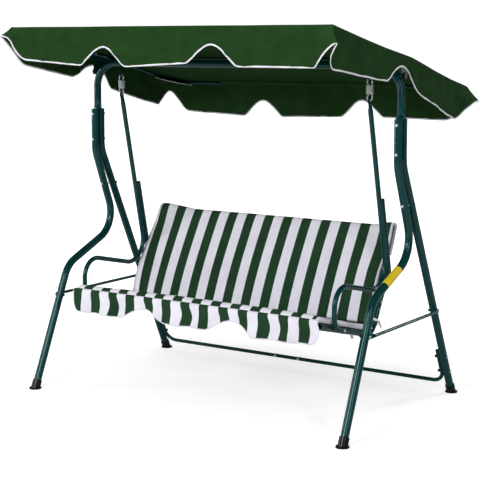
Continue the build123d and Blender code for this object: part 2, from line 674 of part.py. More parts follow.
def seat_back_corner(above, front):
    """Where a line at one height over the seat meets a line at one distance in front of the back."""
    seat_at = seat_point(0, above)
    back_at = back_point(0, front)
    height = (seat_at[1] + SEAT_SLOPE * seat_at[0] - SEAT_SLOPE * (back_at[0] - BACK_SLOPE * back_at[1]))
    height /= 1 + SEAT_SLOPE * BACK_SLOPE
    return (back_at[0] - BACK_SLOPE * (back_at[1] - height), height)


def arm_depth(height):
    return line_depth(ARM[1], ARM[0], height)


def hanging_arm():
    """The tube that hangs from a spring and bends forward to make the armrest."""
    top = (arm_depth(HOOK_BOTTOM - ARM_NECK), HOOK_BOTTOM - ARM_NECK)
    bar = tube([at(ARM_X, d, z) for d, z in [top] + ARM[1:]], ARM_BENDS, ARM_DIAMETER)
    hang = (Vector(*at(ARM_X, *ARM[0])) - Vector(*at(ARM_X, *ARM[1]))).normalized()
    eye = Vector(*at(ARM_X, 0, HOOK_BOTTOM - EYE_OFFSET))
    neck = Vector(*at(ARM_X, *top))
    edge = Plane(origin=tuple(neck), x_dir=(1, 0, 0), z_dir=tuple(hang))
    flat = Plane(origin=tuple(neck + hang * ARM_TAPER), x_dir=(1, 0, 0), z_dir=tuple(hang))
    bar += loft([edge * Circle(ARM_DIAMETER / 2), flat * Ellipse(*ARM_FLAT)])
    bar += extrude(flat * Ellipse(*ARM_FLAT), amount=ARM_FLAT[1])
    bar += rod((ARM_X - ARM_FLAT[0], eye.Y, eye.Z), (ARM_X + ARM_FLAT[0], eye.Y, eye.Z), ARM_EYE_PLATE)
    bar = drill(bar, (ARM_X - DRILL_REACH, eye.Y, eye.Z), (ARM_X + DRILL_REACH, eye.Y, eye.Z), EYE_RADIUS)
    for height in UPRIGHT_BOLTS:
        bar = drill_upright(bar, height)
    return drill_across(bar, ARM_X, *ARM_BOLT)


def upright_bolt_ends(height):
    """A bolt square to an upright, from behind it to the front of the arm."""
    lean = (Vector(*at(ARM_X, *ARM[0])) - Vector(*at(ARM_X, *ARM[1]))).normalized()
    square = Vector(0, lean.Z, -lean.Y)
    middle = Vector(*at(ARM_X, arm_depth(height), height))
    reach = UPRIGHT_GAP * lean.Z + FRAME_DIAMETER / 2
    return tuple(middle + square * reach), tuple(middle - square * (ARM_DIAMETER / 2 - WALL))


def drill_upright(solid, height):
    head, tip = upright_bolt_ends(height)
    beyond = tuple(Vector(*tip) + (Vector(*head) - Vector(*tip)) * 1.3)
    return drill(solid, tip, beyond)


def frame_depth(height):
    return FRAME_AT[0] + FRAME_LEAN * (height - FRAME_AT[1])


def rail_height(depth):
    return FRONT_RAIL[1] - SEAT_SLOPE * (depth - FRONT_RAIL[0])


def side_frame():
    """One tube: the upright behind the arm, a joggle inwards, the recline, and the seat's side rail."""
    corner_height = (rail_height(0) - SEAT_SLOPE * (FRAME_AT[0] - FRAME_LEAN * FRAME_AT[1]))
    corner_height /= 1 + SEAT_SLOPE * FRAME_LEAN
    corner = (frame_depth(corner_height), corner_height)
    front_end = FRONT_RAIL[0] + FRAME_DIAMETER / 2 + 0.6
    points = [
        at(ARM_X, arm_depth(UPRIGHT_TOP) + UPRIGHT_GAP, UPRIGHT_TOP),
        at(ARM_X, arm_depth(JOGGLE_TOP) + UPRIGHT_GAP, JOGGLE_TOP),
        at(FRAME_X, frame_depth(JOGGLE_BOTTOM), JOGGLE_BOTTOM),
        at(FRAME_X, *corner),
        at(FRAME_X, front_end, rail_height(front_end)),
    ]
    bar = tube(points, FRAME_BENDS, FRAME_DIAMETER, FRAME_WALL)
    for height in UPRIGHT_BOLTS:
        bar = drill_upright(bar, height)
    for place in back_bolt_places() + [ARM_BOLT, rear_rail_place()]:
        bar = drill_across(bar, FRAME_X, *place)
    return bar


def frame_cap():
    """The plug in the top of an upright."""
    lean = (Vector(*at(ARM_X, *ARM[0])) - Vector(*at(ARM_X, *ARM[1]))).normalized()
    top = Vector(*at(ARM_X, arm_depth(UPRIGHT_TOP) + UPRIGHT_GAP, UPRIGHT_TOP))
    plug = rod(tuple(top - lean * 10), tuple(top), FRAME_DIAMETER / 2 - FRAME_WALL - 0.1)
    lid = rod(tuple(top), tuple(top + lean * CAP_HEIGHT), FRAME_DIAMETER / 2)
    rim = lid.edges().filter_by(GeomType.CIRCLE).sort_by(Axis.Z)[-1]
    return plug + fillet(rim, CAP_HEIGHT * 0.6)


def back_bolt_places():
    places = []
    for height in BACK_BOLT_HEIGHTS:
        back_depth = TOP_RAIL[0] - BACK_SLOPE * (TOP_RAIL[1] - height)
        places.append(((back_depth + frame_depth(height)) / 2, height))
    return places


def back_frame():
    """An upside-down U that carries the back, bolted inside the side frames."""
    foot_depth = TOP_RAIL[0] - BACK_SLOPE * (TOP_RAIL[1] - BACK_LEG_END)
    points = [at(-BACK_X, foot_depth, BACK_LEG_END), at(-BACK_X, *TOP_RAIL),
              at(BACK_X, *TOP_RAIL), at(BACK_X, foot_depth, BACK_LEG_END)]
    bar = tube(points, BACK_BEND, BACK_DIAMETER)
    for place in back_bolt_places():
        for sign in (-1, 1):
            bar = drill_across(bar, sign * BACK_X, *place)
    return bar


def seat_front_rail():
    return tube([at(-FRAME_X, *FRONT_RAIL), at(FRAME_X, *FRONT_RAIL)], None, FRAME_DIAMETER, FRAME_WALL)


def rear_rail_place():
    return (REAR_RAIL_DEPTH, rail_height(REAR_RAIL_DEPTH))


def seat_rear_rail():
    """The cross rail under the back of the seat, with a threaded plug welded in each end."""
    half = FRAME_X - FRAME_DIAMETER / 2
    place = rear_rail_place()
    bar = tube([at(-half, *place), at(half, *place)], None, FRAME_DIAMETER, FRAME_WALL)
    for sign in (-1, 1):
        start, end = at(sign * (half - RAIL_PLUG), *place), at(sign * half, *place)
        bar += drill(rod(start, end, FRAME_DIAMETER / 2 - 1), start, end)
    return bar


def support_sling():
    """The woven sheet stretched from the front rail over the rear rail and up to the top rail."""
    low, high = RAIL_TOP + 0.1, RAIL_TOP + SLING + 0.1
    near, far = BACK_DIAMETER / 2 + 0.1, BACK_DIAMETER / 2 + SLING + 0.1
    profile = [seat_point(0, low), seat_back_corner(low, near), back_point(0, near),
               back_point(0, far), seat_back_corner(high, far), seat_point(0, high)]
    return across_x(profile, SLING_HALF)


def seat_pad():
    """The thin seat cushion, from the fold over the front rail back to the foot of the back."""
    low = RAIL_TOP + SLING + 0.4
    high = low + SEAT_PAD
    far = BACK_DIAMETER / 2 + SLING + 1
    fold = -SEAT_FOLD
    profile = [seat_point(fold + 4, -4), seat_point(fold + 4, low), seat_back_corner(low, far),
               seat_back_corner(high, far), seat_point(fold + PAD, high), seat_point(fold + 4, high - 5),
               seat_point(fold, high - PAD), seat_point(fold, -4)]
    return across_x(profile, PAD_HALF)


def back_pad():
    """The thin back cushion, with a pocket that drops over the top rail."""
    near = BACK_DIAMETER / 2 + SLING + 1
    far = near + PAD
    foot = RAIL_TOP + SLING + SEAT_PAD + 1.5
    rail = BACK_DIAMETER / 2 + 1
    behind = -rail - POCKET_CLOTH
    profile = [seat_back_corner(foot, near), back_point(-rail, near), back_point(-rail, -rail),
               back_point(POCKET_DEPTH, -rail), back_point(POCKET_DEPTH, behind),
               back_point(behind - 4, behind), back_point(behind - 6, far - 8),
               back_point(-rail - 2, far), seat_back_corner(foot, far)]
    return across_x(profile, PAD_HALF)


def seat_valance():
    """The scalloped flap that hangs from the front fold of the seat."""
    back, top = -SEAT_FOLD - 0.5, RAIL_TOP + SLING + PAD
    knee, front_knee = seat_point(back, -5), seat_point(back - VALANCE_THICKNESS, -5)
    profile = [seat_point(back, top), knee, (knee[0], VALANCE_BOTTOM), (front_knee[0], VALANCE_BOTTOM),
               front_knee, seat_point(back - VALANCE_THICKNESS, top)]
    sheet = across_x(profile, PAD_HALF)
    for x in SEAT_NOTCHES:
        hem = Plane(origin=at(x, knee[0] + 20, VALANCE_BOTTOM), x_dir=(1, 0, 0), z_dir=(0, -1, 0))
        sheet -= extrude(hem * bell(SEAT_NOTCH_HALF, SEAT_NOTCH_RISE, 40), amount=60)
    return sheet


def tie():
    """A cloth tie knotted round the reclined stretch of a side frame, with two short ends."""
    place = (frame_depth(TIE_HEIGHT), TIE_HEIGHT)
    lean = Vector(0, FRAME_LEAN, 1).normalized()
    middle = Vector(*at(FRAME_X, *place))
    outer, inner = FRAME_DIAMETER / 2 + 2, FRAME_DIAMETER / 2 + 0.3
    start, end = tuple(middle - lean * TIE_KNOT[2] / 2), tuple(middle + lean * TIE_KNOT[2] / 2)
    loop = rod(start, end, outer) - rod(start, end, inner)
    knot = middle + Vector(0, outer + TIE_WIDTH, 0)
    ends = Pos(*knot) * Box(*TIE_KNOT)
    for offset, length in TIE_TAILS:
        ends += Pos(knot.X + offset, knot.Y + 1, knot.Z - length / 2) * Box(TIE_WIDTH, 2, length)
    return loop + ends


def seat_bolts():
    """The seat frame's bolts: arm to rail, back frame to side frame, rear rail and uprights."""
    bolts = []
    outer, inner = FRAME_X + FRAME_DIAMETER / 2, FRAME_X - FRAME_DIAMETER / 2
    spans = [(ARM_BOLT, ARM_X + ARM_DIAMETER / 2, inner - 4), (rear_rail_place(), outer, inner - RAIL_PLUG + 4)]
    spans += [(place, outer, BACK_X - BACK_DIAMETER / 2 - 4) for place in back_bolt_places()]
    for sign in (-1, 1):
        for place, head, tip in spans:
            bolts.append(bolt(at(sign * head, *place), at(sign * tip, *place)))
        for height in UPRIGHT_BOLTS:
            head, tip = upright_bolt_ends(height)
            bolts.append(bolt((sign * head[0], head[1], head[2]), (sign * tip[0], tip[1], tip[2])))
    return bolts


# --- the whole object ------------------------------------------------------------------------
def nodes():
    """Every piece, by its node's name."""
    made = {}
    paired = {
        "front_leg": front_leg,
        "rear_leg": rear_leg,
        "foot_cap_front": lambda: foot_cap(FRONT_LEG),
        "foot_cap_rear": lambda: foot_cap(REAR_LEG),
        "hoop_corner": hoop_corner,
        "hanger_tab": hanger_tab,
        "brace": brace,
        "canopy_pivot_knob": pivot_knob,
        "canopy_bracket": canopy_bracket,
        "canopy_side_tube": canopy_side_tube,
        "spring_coil": spring_coil,
        "spring_top_hook": lambda: spring_hook(True),
        "spring_bottom_hook": lambda: spring_hook(False),
        "hanging_arm": hanging_arm,
        "side_frame": side_frame,
    }
    for name, make in paired.items():
        for side, solid in both_sides(make):
            made[f"{name}_{side}"] = solid
    made["canopy_pivot_bosses"] = group([solid for _, solid in both_sides(pivot_boss)])
    made["crossbar"] = crossbar()
    made["rear_bar_left"] = rear_bar(-1)
    made["rear_bar_right"] = rear_bar(1)
    made["rear_bar_joiner"] = rear_bar_joiner()
    made["leg_band"] = leg_band()
    front_end, rear_end = end_tube_places()
    half = CANOPY_TUBE_X - ELBOW_HAND
    made["canopy_front_tube"] = canopy_cross_tube(*front_end, half)
    made["canopy_rear_tube"] = canopy_cross_tube(*rear_end, half)
    ridge = CANOPY_RIDGE[0]
    made["canopy_middle_tube"] = canopy_cross_tube(ridge, side_tube_height(ridge), half + CANOPY_TUBE / 2)
    corners = [canopy_corner(place) for place in (side_tube_points()[0], side_tube_points()[-1])]
    made["canopy_corner_elbows"] = group(corners + [mirror(c, about=Plane.YZ) for c in corners])
    made["canopy_cover"] = canopy_cover()
    made["canopy_bracket_screws"] = group(bracket_screws())
    made["back_frame"] = back_frame()
    made["seat_front_rail"] = seat_front_rail()
    made["seat_rear_rail"] = seat_rear_rail()
    made["upright_caps"] = group([solid for _, solid in both_sides(frame_cap)])
    made["support_sling"] = support_sling()
    made["seat_pad"] = seat_pad()
    made["back_pad"] = back_pad()
    made["seat_valance"] = seat_valance()
    made["cushion_ties"] = group([solid for _, solid in both_sides(tie)])
    made["seat_bolts"] = group(seat_bolts())
    fasteners = {
        "leg": leg_bolts(),
        "brace": brace_bolts(),
        "rear_bar": rear_bar_bolts(),
        "crossbar": crossbar_bolts(),
    }
    for name, (bolts, nuts) in fasteners.items():
        made[f"{name}_bolts"] = group(bolts)
        made[f"{name}_nuts"] = group(nuts)
    return made


os.makedirs("parts", exist_ok=True)
for node_name, shape in nodes().items():
    export_step(shape, f"parts/{node_name}.step")
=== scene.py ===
"""The looks of a three-seat garden swing bench: cloth, cushions, springs, ties and every finish.

Metres, +Z up, the front faces -Y. Depths are measured backwards from the crossbar.
"""
import math
from collections import namedtuple

import bpy
import numpy as np
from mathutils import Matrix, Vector, noise


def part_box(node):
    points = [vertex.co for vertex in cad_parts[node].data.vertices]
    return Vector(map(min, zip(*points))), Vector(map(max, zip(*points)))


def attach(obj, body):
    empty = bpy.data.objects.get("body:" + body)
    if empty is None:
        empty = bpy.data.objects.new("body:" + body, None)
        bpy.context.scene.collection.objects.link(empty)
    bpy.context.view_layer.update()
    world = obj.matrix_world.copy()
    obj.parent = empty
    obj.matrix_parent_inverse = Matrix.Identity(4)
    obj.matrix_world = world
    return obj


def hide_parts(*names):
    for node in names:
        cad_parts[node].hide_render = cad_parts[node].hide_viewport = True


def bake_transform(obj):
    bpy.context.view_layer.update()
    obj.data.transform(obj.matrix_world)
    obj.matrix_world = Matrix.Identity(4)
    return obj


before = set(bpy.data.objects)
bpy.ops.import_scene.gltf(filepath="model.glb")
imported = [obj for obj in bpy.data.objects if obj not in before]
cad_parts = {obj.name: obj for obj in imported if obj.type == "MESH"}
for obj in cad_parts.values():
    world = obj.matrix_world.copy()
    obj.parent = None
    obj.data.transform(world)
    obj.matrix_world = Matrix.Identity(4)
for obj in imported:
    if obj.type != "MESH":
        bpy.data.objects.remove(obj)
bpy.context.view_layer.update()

# --- sizes the cloth is cut to, as the frame has them ---------------------------------------------
CANOPY_FRONT = (-0.537, 1.531)      # depth and height of the roof's front edge
CANOPY_RIDGE = (0.082, 1.409)
CANOPY_REAR = (0.595, 1.284)
CANOPY_HALF = 0.758
CANOPY_THICKNESS = 0.0012
NOTCH_RISE = 0.074
FRONT_NOTCHES = (-0.271, 0.245)     # places along X of the notches in the front skirt
REAR_NOTCHES = (-0.262, 0.256)
FRONT_NOTCH_HALF = 0.110
REAR_NOTCH_HALF = 0.098
SIDE_NOTCH = 0.0                    # depth of the notch in the middle of each side skirt
SIDE_NOTCH_HALVES = (0.145, 0.116)  # its reach forwards and backwards
SIDE_NOTCH_RISE = 0.079
# How far the hems hang: places along X or depths, then the drops there.
FRONT_HEM = ((-0.65, -0.39, -0.17, 0.13, 0.36, 0.66), (0.137, 0.154, 0.159, 0.142, 0.152, 0.153))
REAR_HEM = ((-0.69, -0.36, -0.18, 0.17, 0.37, 0.70), (0.143, 0.157, 0.157, 0.146, 0.143, 0.146))
RIGHT_HEM = ((-0.54, -0.34, -0.14, 0.11, 0.28, 0.44), (0.155, 0.143, 0.127, 0.130, 0.147, 0.162))
LEFT_HEM = ((-0.54, -0.40, -0.14, 0.11, 0.34, 0.47), (0.140, 0.138, 0.134, 0.142, 0.144, 0.134))
# An edge of the skirt at a corner: where its cut starts and ends, how steep the cut is, and how far
# along the skirt the sideways and the endways flare reach.
Edge = namedtuple("Edge", "start cut steep reach_side reach_end")
# A corner: the hem's drop there, how far its point flares sideways and endways, and its two edges.
Corner = namedtuple("Corner", "drop out_side out_end end_edge side_edge")
CORNERS = {
    (-1, -1): Corner(0.036, 0.046, 0.024,
                     Edge(0.009, 0.130, 4, 0.006, 0.05), Edge(0, 0.105, 1, 0.07, 0.07)),
    (1, -1): Corner(0.060, 0.050, 0.044,
                    Edge(0, 0.072, 1, 0.030, 0.05), Edge(0, 0.030, 2, 0.006, 0.08)),
    (1, 1): Corner(0.062, 0.044, 0.028,
                   Edge(0, 0.105, 1, 0.06, 0.08), Edge(0, 0.140, 0.7, 0.10, 0.08)),
    (-1, 1): Corner(0.050, 0.054, 0.026,
                    Edge(0, 0.072, 1, 0.06, 0.08), Edge(0, 0.100, 0.9, 0.15, 0.08))}
GRID = 0.011                        # spacing of the canopy's columns
SKIRT_ROWS = 14
ROOF_SLACK = 0.007
ROOF_RIPPLE = 0.0016
ROOF_PULL = 0.0012
SKIRT_SET_OFF = 0.004               # the skirt hangs this far out of the roof's edge
LONG_FOLD = 0.011                   # depth of each kind of wave in the skirt
SHORT_FOLD = 0.009
CREASE = 0.008
PUCKER = 0.0020
GATHER = 0.004
GATHER_AT = 0.10                    # the gathers are this far from a corner
CALM_CORNER = 0.06                  # the waves fade out this close to a corner
BINDING = (0.0070, 0.0028)          # width and thickness of the tape round the canopy's hem
POCKET = (0.100, 0.195)             # a corner pocket's sides, along the end and along the side
POCKET_INSET = 0.006
POCKET_DROP = 0.0205                # it hangs this far below the roof, clear of the tubes
POCKET_TAPE = (0.007, 0.0026)
REAR_SLEEVE = (-0.474, 0.440)       # where the rear tube runs inside a hem of the roof
SLEEVE_GAP = 0.0016
SLEEVE_SEAMS = (0.026, 0.011)       # the sleeve's seams are this far before and behind the tube
SEAM_DROPS = (0.0035, 0.0045)       # and this far below the roof
THIN_CLOTH = 0.001

FRONT_RAIL = (-0.352, 0.4139)
TOP_RAIL = (0.282, 0.702)
SEAT_TILT = math.atan(0.26)
BACK_TILT = math.atan(0.53)
RAIL_RADIUS = 0.011
TOP_RAIL_RADIUS = 0.010
SLING = 0.002
SEAT_PAD = 0.026
BACK_PAD = 0.013
SEAT_SPAN = (-0.581, 0.603)         # the seat cushion lies a little right of the frame's middle
BACK_SPAN = (-0.607, 0.589)         # and the back one a little left of it
SLING_HALF = 0.578
ARC_STEPS = 12                      # in the turn of the cushions and the sling over each rail
HEM = 0.0115                        # white hem down each side of the cushions
PAD_CROWN = 0.08                    # share of its thickness that a pad gains in its middle
PAD_UNEVEN = 0.10
SEAT_SAG = 0.010
POCKET_DEPTH = 0.105
VALANCE_TOP = 0.4435
VALANCE_BOTTOM = 0.3445
VALANCE_SPAN = (-0.579, 0.606)
VALANCE_ROWS = 22
VALANCE_CLOTH = 0.0014
PIPING = (0.0056, 0.0026)
SEAT_NOTCHES = (-0.213, 0.212)
SEAT_NOTCH_HALF = 0.107
SEAT_NOTCH_RISE = 0.051

STRIPE_SEAT = (-0.5318, 0.0924, 0.487)      # left edge of one green stripe, pitch, share of green
STRIPE_VALANCE = (-0.4838, 0.0918, 0.487)
STRIPE_BACK = (-0.505, 0.0942, 0.495)

FRAME_X = 0.593
FRAME_RADIUS = 0.011
FRAME_LEAN = 0.55
FRAME_AT = (0.145, 0.433)           # a point on the reclined stretch of the side frame
TIE_HEIGHT = 0.360
TIE_SIZE = (0.010, 0.0008)
TIE_TAILS = ((1.0, 0.058, 150), (-0.35, 0.044, -120))   # lean outwards, length and twist in degrees
TAIL_STEPS = 14
KNOT = (0.0060, 0.0048, 0.0065)     # half sizes of a tie's knot
KNOT_OFFSET = 0.0045
TAG_PLACE = Vector((0.5985, -0.128, 0.3415))
TAG_SIZE = (0.026, 0.017)

WIRE = 0.0045
COIL_RADIUS = 0.0122
COIL_TURNS = 7
COIL_PITCH = 0.0049

CAMERA_PLACE = (3.063, -4.591, 1.466)
CAMERA_DOWN = 5.99                  # degrees below level
CAMERA_TURN = 33.79                 # degrees round to the left
CAMERA_LENS = 99.7
CAMERA_SHIFT = -0.12
Light = namedtuple("Light", "place target size watts")
LIGHTS = {
    "key": Light((0.1, -4.8, 2.5), (0.1, 0, 0.8), (0.9, 1.6), 98),
    "left_strip": Light((-3.6, -2.2, 1.6), (0, 0, 0.8), (0.22, 2.4), 40),
    "right_strip": Light((3.9, -2.6, 2.3), (0.6, 0, 0.9), (0.18, 2.2), 34),
    "rear_strip": Light((2.4, 3.6, 2.4), (0.3, 0, 0.7), (0.25, 2.2), 30),
    "top": Light((0, -0.4, 4.2), (0, 0, 0), (1.6, 1.6), 60)}
ROOM_LIGHT = 0.41                   # strength of the white room round the bench
ROOM_GLOSS = 0.07                   # and of its dark corners, as the gloss of the tubes shows them
FLOOR_HALF = 40
FLOOR_TONES = (0.56, 0.84)          # the floor's grey for reflected light, and for the camera
FLOOR_GLOW = (0.50, 1.0)            # its glow for the camera by the bench, and away from it
FLOOR_FADE = (0.6, 3.4)             # the distances between which the glow grows
WAVE_PERIOD = 2 * math.pi / 20      # length of one band of a wave texture of scale 1

crossbar_low, crossbar_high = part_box("crossbar")
CROSSBAR_Y = (crossbar_low.y + crossbar_high.y) / 2


# --- small helpers ---------------------------------------------------------------------------------
def srgb(red, green, blue):
    """A linear colour from 0-255 display values."""
    def linear(value):
        share = value / 255
        return share / 12.92 if share <= 0.04045 else ((share + 0.055) / 1.055) ** 2.4
    return (linear(red), linear(green), linear(blue), 1.0)


def smooth(value, low, high):
    """0 below low, 1 above high, and an even S between them."""
    share = min(1.0, max(0.0, (value - low) / (high - low)))
    return share * share * (3 - 2 * share)


def wobble(x, y, z, scale):
    """Even, repeatable noise about zero."""
    return noise.noise(Vector((x * scale, y * scale, z * scale)))


def new_mesh(name, vertices, faces, material):
    mesh = bpy.data.meshes.new(name)
    mesh.from_pydata([tuple(v) for v in vertices], [], faces)
    mesh.validate()
    mesh.materials.append(material)
    mesh.polygons.foreach_set("use_smooth", [True] * len(mesh.polygons))
    piece = bpy.data.objects.new(name, mesh)
    bpy.context.scene.collection.objects.link(piece)
    return piece


def mark_cloth(piece, places):
    """Each vertex remembers how far across the flat cloth it was, so woven stripes move with it."""
    across = piece.data.attributes.new("cloth_x", "FLOAT", "POINT")
    across.data.foreach_set("value", places)


def grid_faces(rows, columns, wrap_columns=False, wrap_rows=False):
    """Quads over a grid whose vertices run along the columns first."""
    faces = []
    for row in range(rows if wrap_rows else rows - 1):
        for column in range(columns if wrap_columns else columns - 1):
            a = row * columns + column
            b = row * columns + (column + 1) % columns
            c = (row + 1) % rows * columns + (column + 1) % columns
            d = (row + 1) % rows * columns + column
            faces.append((a, b, c, d))
    return faces


def modifier(piece, kind, **settings):
    made = piece.modifiers.new(kind.title(), kind)
    for name, value in settings.items():
        setattr(made, name, value)
    return made


def apply_modifiers(piece):
    bpy.context.view_layer.update()
    evaluated = piece.evaluated_get(bpy.context.evaluated_depsgraph_get())
    mesh = bpy.data.meshes.new_from_object(evaluated)
    piece.modifiers.clear()
    piece.data = mesh


def sweep_band(name, path, across, outwards, size, material, closed):
    """A soft flat band along a path: across and outwards are unit vectors for each of its points."""
    width, thickness = size
    corners = 10
    section = []
    for step in range(corners):
        turn = 2 * math.pi * step / corners
        side, out = math.cos(turn), math.sin(turn)
        flat_side = math.copysign(abs(side) ** 0.6, side) / 2
        flat_out = math.copysign(abs(out) ** 0.8, out) / 2
        section.append((flat_side, flat_out))
    vertices = []
    for point, side, out in zip(path, across, outwards):
        vertices += [point + side * (u * width) + out * (v * thickness) for u, v in section]
    faces = grid_faces(len(path), len(section), wrap_columns=True, wrap_rows=closed)
    if not closed:
        last = (len(path) - 1) * len(section)
        faces.append(tuple(reversed(range(len(section)))))
        faces.append(tuple(last + i for i in range(len(section))))
    return new_mesh(name, vertices, faces, material)


# --- camera and light ------------------------------------------------------------------------------
def make_camera():
    camera = bpy.data.objects.new("camera", bpy.data.cameras.new("camera"))
    bpy.context.scene.collection.objects.link(camera)
    camera.data.sensor_width = 36
    camera.data.lens = CAMERA_LENS
    camera.data.shift_y = CAMERA_SHIFT
    camera.location = CAMERA_PLACE
    camera.rotation_euler = (math.radians(90 - CAMERA_DOWN), 0, math.radians(CAMERA_TURN))
    bpy.context.scene.camera = camera


def area_light(name, place, target, size, watts):
    light = bpy.data.objects.new(name, bpy.data.lights.new(name, "AREA"))
    bpy.context.scene.collection.objects.link(light)
    light.data.shape = "RECTANGLE"
    light.data.size, light.data.size_y = size
    light.data.energy = watts
    light.location = place
    light.rotation_euler = (Vector(target) - Vector(place)).to_track_quat("-Z", "Y").to_euler()


def make_stage():
    """A white studio: the backdrop is white to the camera and a dim room to everything else."""
    world = bpy.data.worlds.new("studio")
    bpy.context.scene.world = world
    world.use_nodes = True
    tree = world.node_tree
    ray = tree.nodes.new("ShaderNodeLightPath").outputs
    soft = remap(tree, ray["Is Diffuse Ray"], 0, 1, ROOM_GLOSS, ROOM_LIGHT)
    strength = maths(tree, "ADD", soft, ray["Is Camera Ray"])
    fill(tree, tree.nodes["Background"], {"Strength": strength, "Color": (1, 1, 1, 1)})
    for name, light in LIGHTS.items():
        area_light(name, *light)
    bpy.context.scene.view_settings.view_transform = "Standard"
    far = FLOOR_HALF
    corners = [(-far, -far, 0), (far, -far, 0), (far, far, 0), (-far, far, 0)]
    new_mesh("floor", corners, [(0, 1, 2, 3)], plain_floor())


# --- materials -------------------------------------------------------------------------------------
def new_material(name):
    material = bpy.data.materials.new(name)
    material.use_nodes = True
    return material, material.node_tree, material.node_tree.nodes["Principled BSDF"]


def fill(tree, node, inputs):
    """Links or sets a node's inputs, by name or by number."""
    for name, value in inputs.items():
        if isinstance(value, bpy.types.NodeSocket):
            tree.links.new(value, node.inputs[name])
        else:
            node.inputs[name].default_value = value


def add_node(tree, kind, inputs, **settings):
    node = tree.nodes.new(kind)
    for name, value in settings.items():
        setattr(node, name, value)
    fill(tree, node, inputs)
    return node


def object_place(tree):
    return tree.nodes.new("ShaderNodeTexCoord").outputs["Object"]


def noise_factor(tree, place, scale, detail=3.0):
    inputs = {"Vector": place, "Scale": scale, "Detail": detail}
    return add_node(tree, "ShaderNodeTexNoise", inputs).outputs["Fac"]


def mix_colour(tree, factor, first, second):
    inputs = {0: factor, 6: first, 7: second}
    return add_node(tree, "ShaderNodeMix", inputs, data_type="RGBA").outputs[2]


def remap(tree, value, low, high, to_low, to_high):
    inputs = {0: value, 1: low, 2: high, 3: to_low, 4: to_high}
    return add_node(tree, "ShaderNodeMapRange", inputs).outputs[0]


def maths(tree, operation, first, second=0.0):
    return add_node(tree, "ShaderNodeMath", {0: first, 1: second}, operation=operation).outputs[0]


def bump(tree, height, strength, distance):
    inputs = {"Height": height, "Strength": strength, "Distance": distance}
    return add_node(tree, "ShaderNodeBump", inputs).outputs["Normal"]


def threads(tree, place, thread, direction):
    inputs = {"Vector": place, "Scale": WAVE_PERIOD / thread}
    return add_node(tree, "ShaderNodeTexWave", inputs, bands_direction=direction).outputs["Fac"]


def weave_height(tree, place, thread):
    """Two crossing sets of threads, tilted so that they show on cloth lying in any direction."""
    turned = add_node(tree, "ShaderNodeMapping", {"Vector": place, "Rotation": (0.62, 0.0, 0.0)}).outputs[0]
    return maths(tree, "ADD", threads(tree, turned, thread, "X"), threads(tree, turned, thread, "Z"))


def plain_floor():
    """Pale floor that fades to the backdrop's white away from the bench."""
    material, tree, shader = new_material("floor")
    seen = tree.nodes.new("ShaderNodeLightPath").outputs["Is Camera Ray"]
    dim, pale = FLOOR_TONES
    away = add_node(tree, "ShaderNodeVectorMath", {0: object_place(tree)}, operation="LENGTH")
    glow = remap(tree, away.outputs["Value"], *FLOOR_FADE, *FLOOR_GLOW)
    fill(tree, shader, {
        "Base Color": mix_colour(tree, seen, (dim, dim, dim, 1), (pale, pale, pale, 1)),
        "Roughness": 0.9, "Specular IOR Level": 0.05, "Emission Color": (1, 1, 1, 1),
        "Emission Strength": maths(tree, "MULTIPLY", glow, seen)})
    return material


def powder_coat():
    """Dark teal-green powder coat: glossy, with a faint orange peel and a little handling haze."""
    material, tree, shader = new_material("powder_coat")
    place = object_place(tree)
    cloud = remap(tree, noise_factor(tree, place, 9), 0.3, 0.7, 0, 1)
    haze = noise_factor(tree, place, 35, 5)
    fill(tree, shader, {
        "Base Color": mix_colour(tree, cloud, srgb(3, 52, 52), srgb(6, 62, 61)),
        "Roughness": remap(tree, haze, 0.3, 0.75, 0.15, 0.22),
        "Specular IOR Level": 0.42, "Specular Tint": (0.55, 0.95, 0.95, 1),
        "Coat Weight": 0.12, "Coat Roughness": 0.06,
        "Normal": bump(tree, noise_factor(tree, place, 420, 2), 0.07, 0.0006)})
    return material


def zinc():
    """Bright zinc plate with dull patches and a fine grain."""
    material, tree, shader = new_material("zinc_plate")
    place = object_place(tree)
    patches = remap(tree, noise_factor(tree, place, 160, 4), 0.35, 0.65, 0, 1)
    fill(tree, shader, {
        "Base Color": mix_colour(tree, patches, srgb(206, 208, 212), srgb(236, 238, 241)),
        "Roughness": remap(tree, patches, 0, 1, 0.22, 0.38), "Metallic": 0.4,
        "Normal": bump(tree, noise_factor(tree, place, 900, 2), 0.15, 0.0002)})
    return material


def moulded_plastic():
    """Black moulded plastic, semi-gloss, with a fine spark-eroded grain."""
    material, tree, shader = new_material("black_plastic")
    place = object_place(tree)
    clouds = noise_factor(tree, place, 40)
    haze = noise_factor(tree, place, 70)
    fill(tree, shader, {
        "Base Color": mix_colour(tree, clouds, srgb(8, 9, 10), srgb(16, 17, 18)),
        "Roughness": remap(tree, haze, 0.3, 0.7, 0.20, 0.32), "Specular IOR Level": 0.3,
        "Normal": bump(tree, noise_factor(tree, place, 1500, 2), 0.2, 0.0002)})
    return material


def yellow_film():
    """Plain yellow film under a thin clear coat."""
    material, tree, shader = new_material("yellow_film")
    place = object_place(tree)
    clouds = noise_factor(tree, place, 60)
    fill(tree, shader, {
        "Base Color": mix_colour(tree, clouds, srgb(232, 198, 18), srgb(244, 214, 32)),
        "Roughness": 0.38, "Coat Weight": 0.2,
        "Normal": bump(tree, noise_factor(tree, place, 220), 0.1, 0.0003)})
    return material


def cloth(name, dark, light, thread, strength=0.35, specular=0.12):
    """Plain woven cloth: two close tints in soft patches, and a weave."""
    material, tree, shader = new_material(name)
    place = object_place(tree)
    patches = remap(tree, noise_factor(tree, place, 14, 4), 0.3, 0.7, 0, 1)
    fill(tree, shader, {
        "Base Color": mix_colour(tree, patches, dark, light),
        "Roughness": 0.85, "Specular IOR Level": specular,
        "Normal": bump(tree, weave_height(tree, place, thread), strength, 0.0004)})
    return material


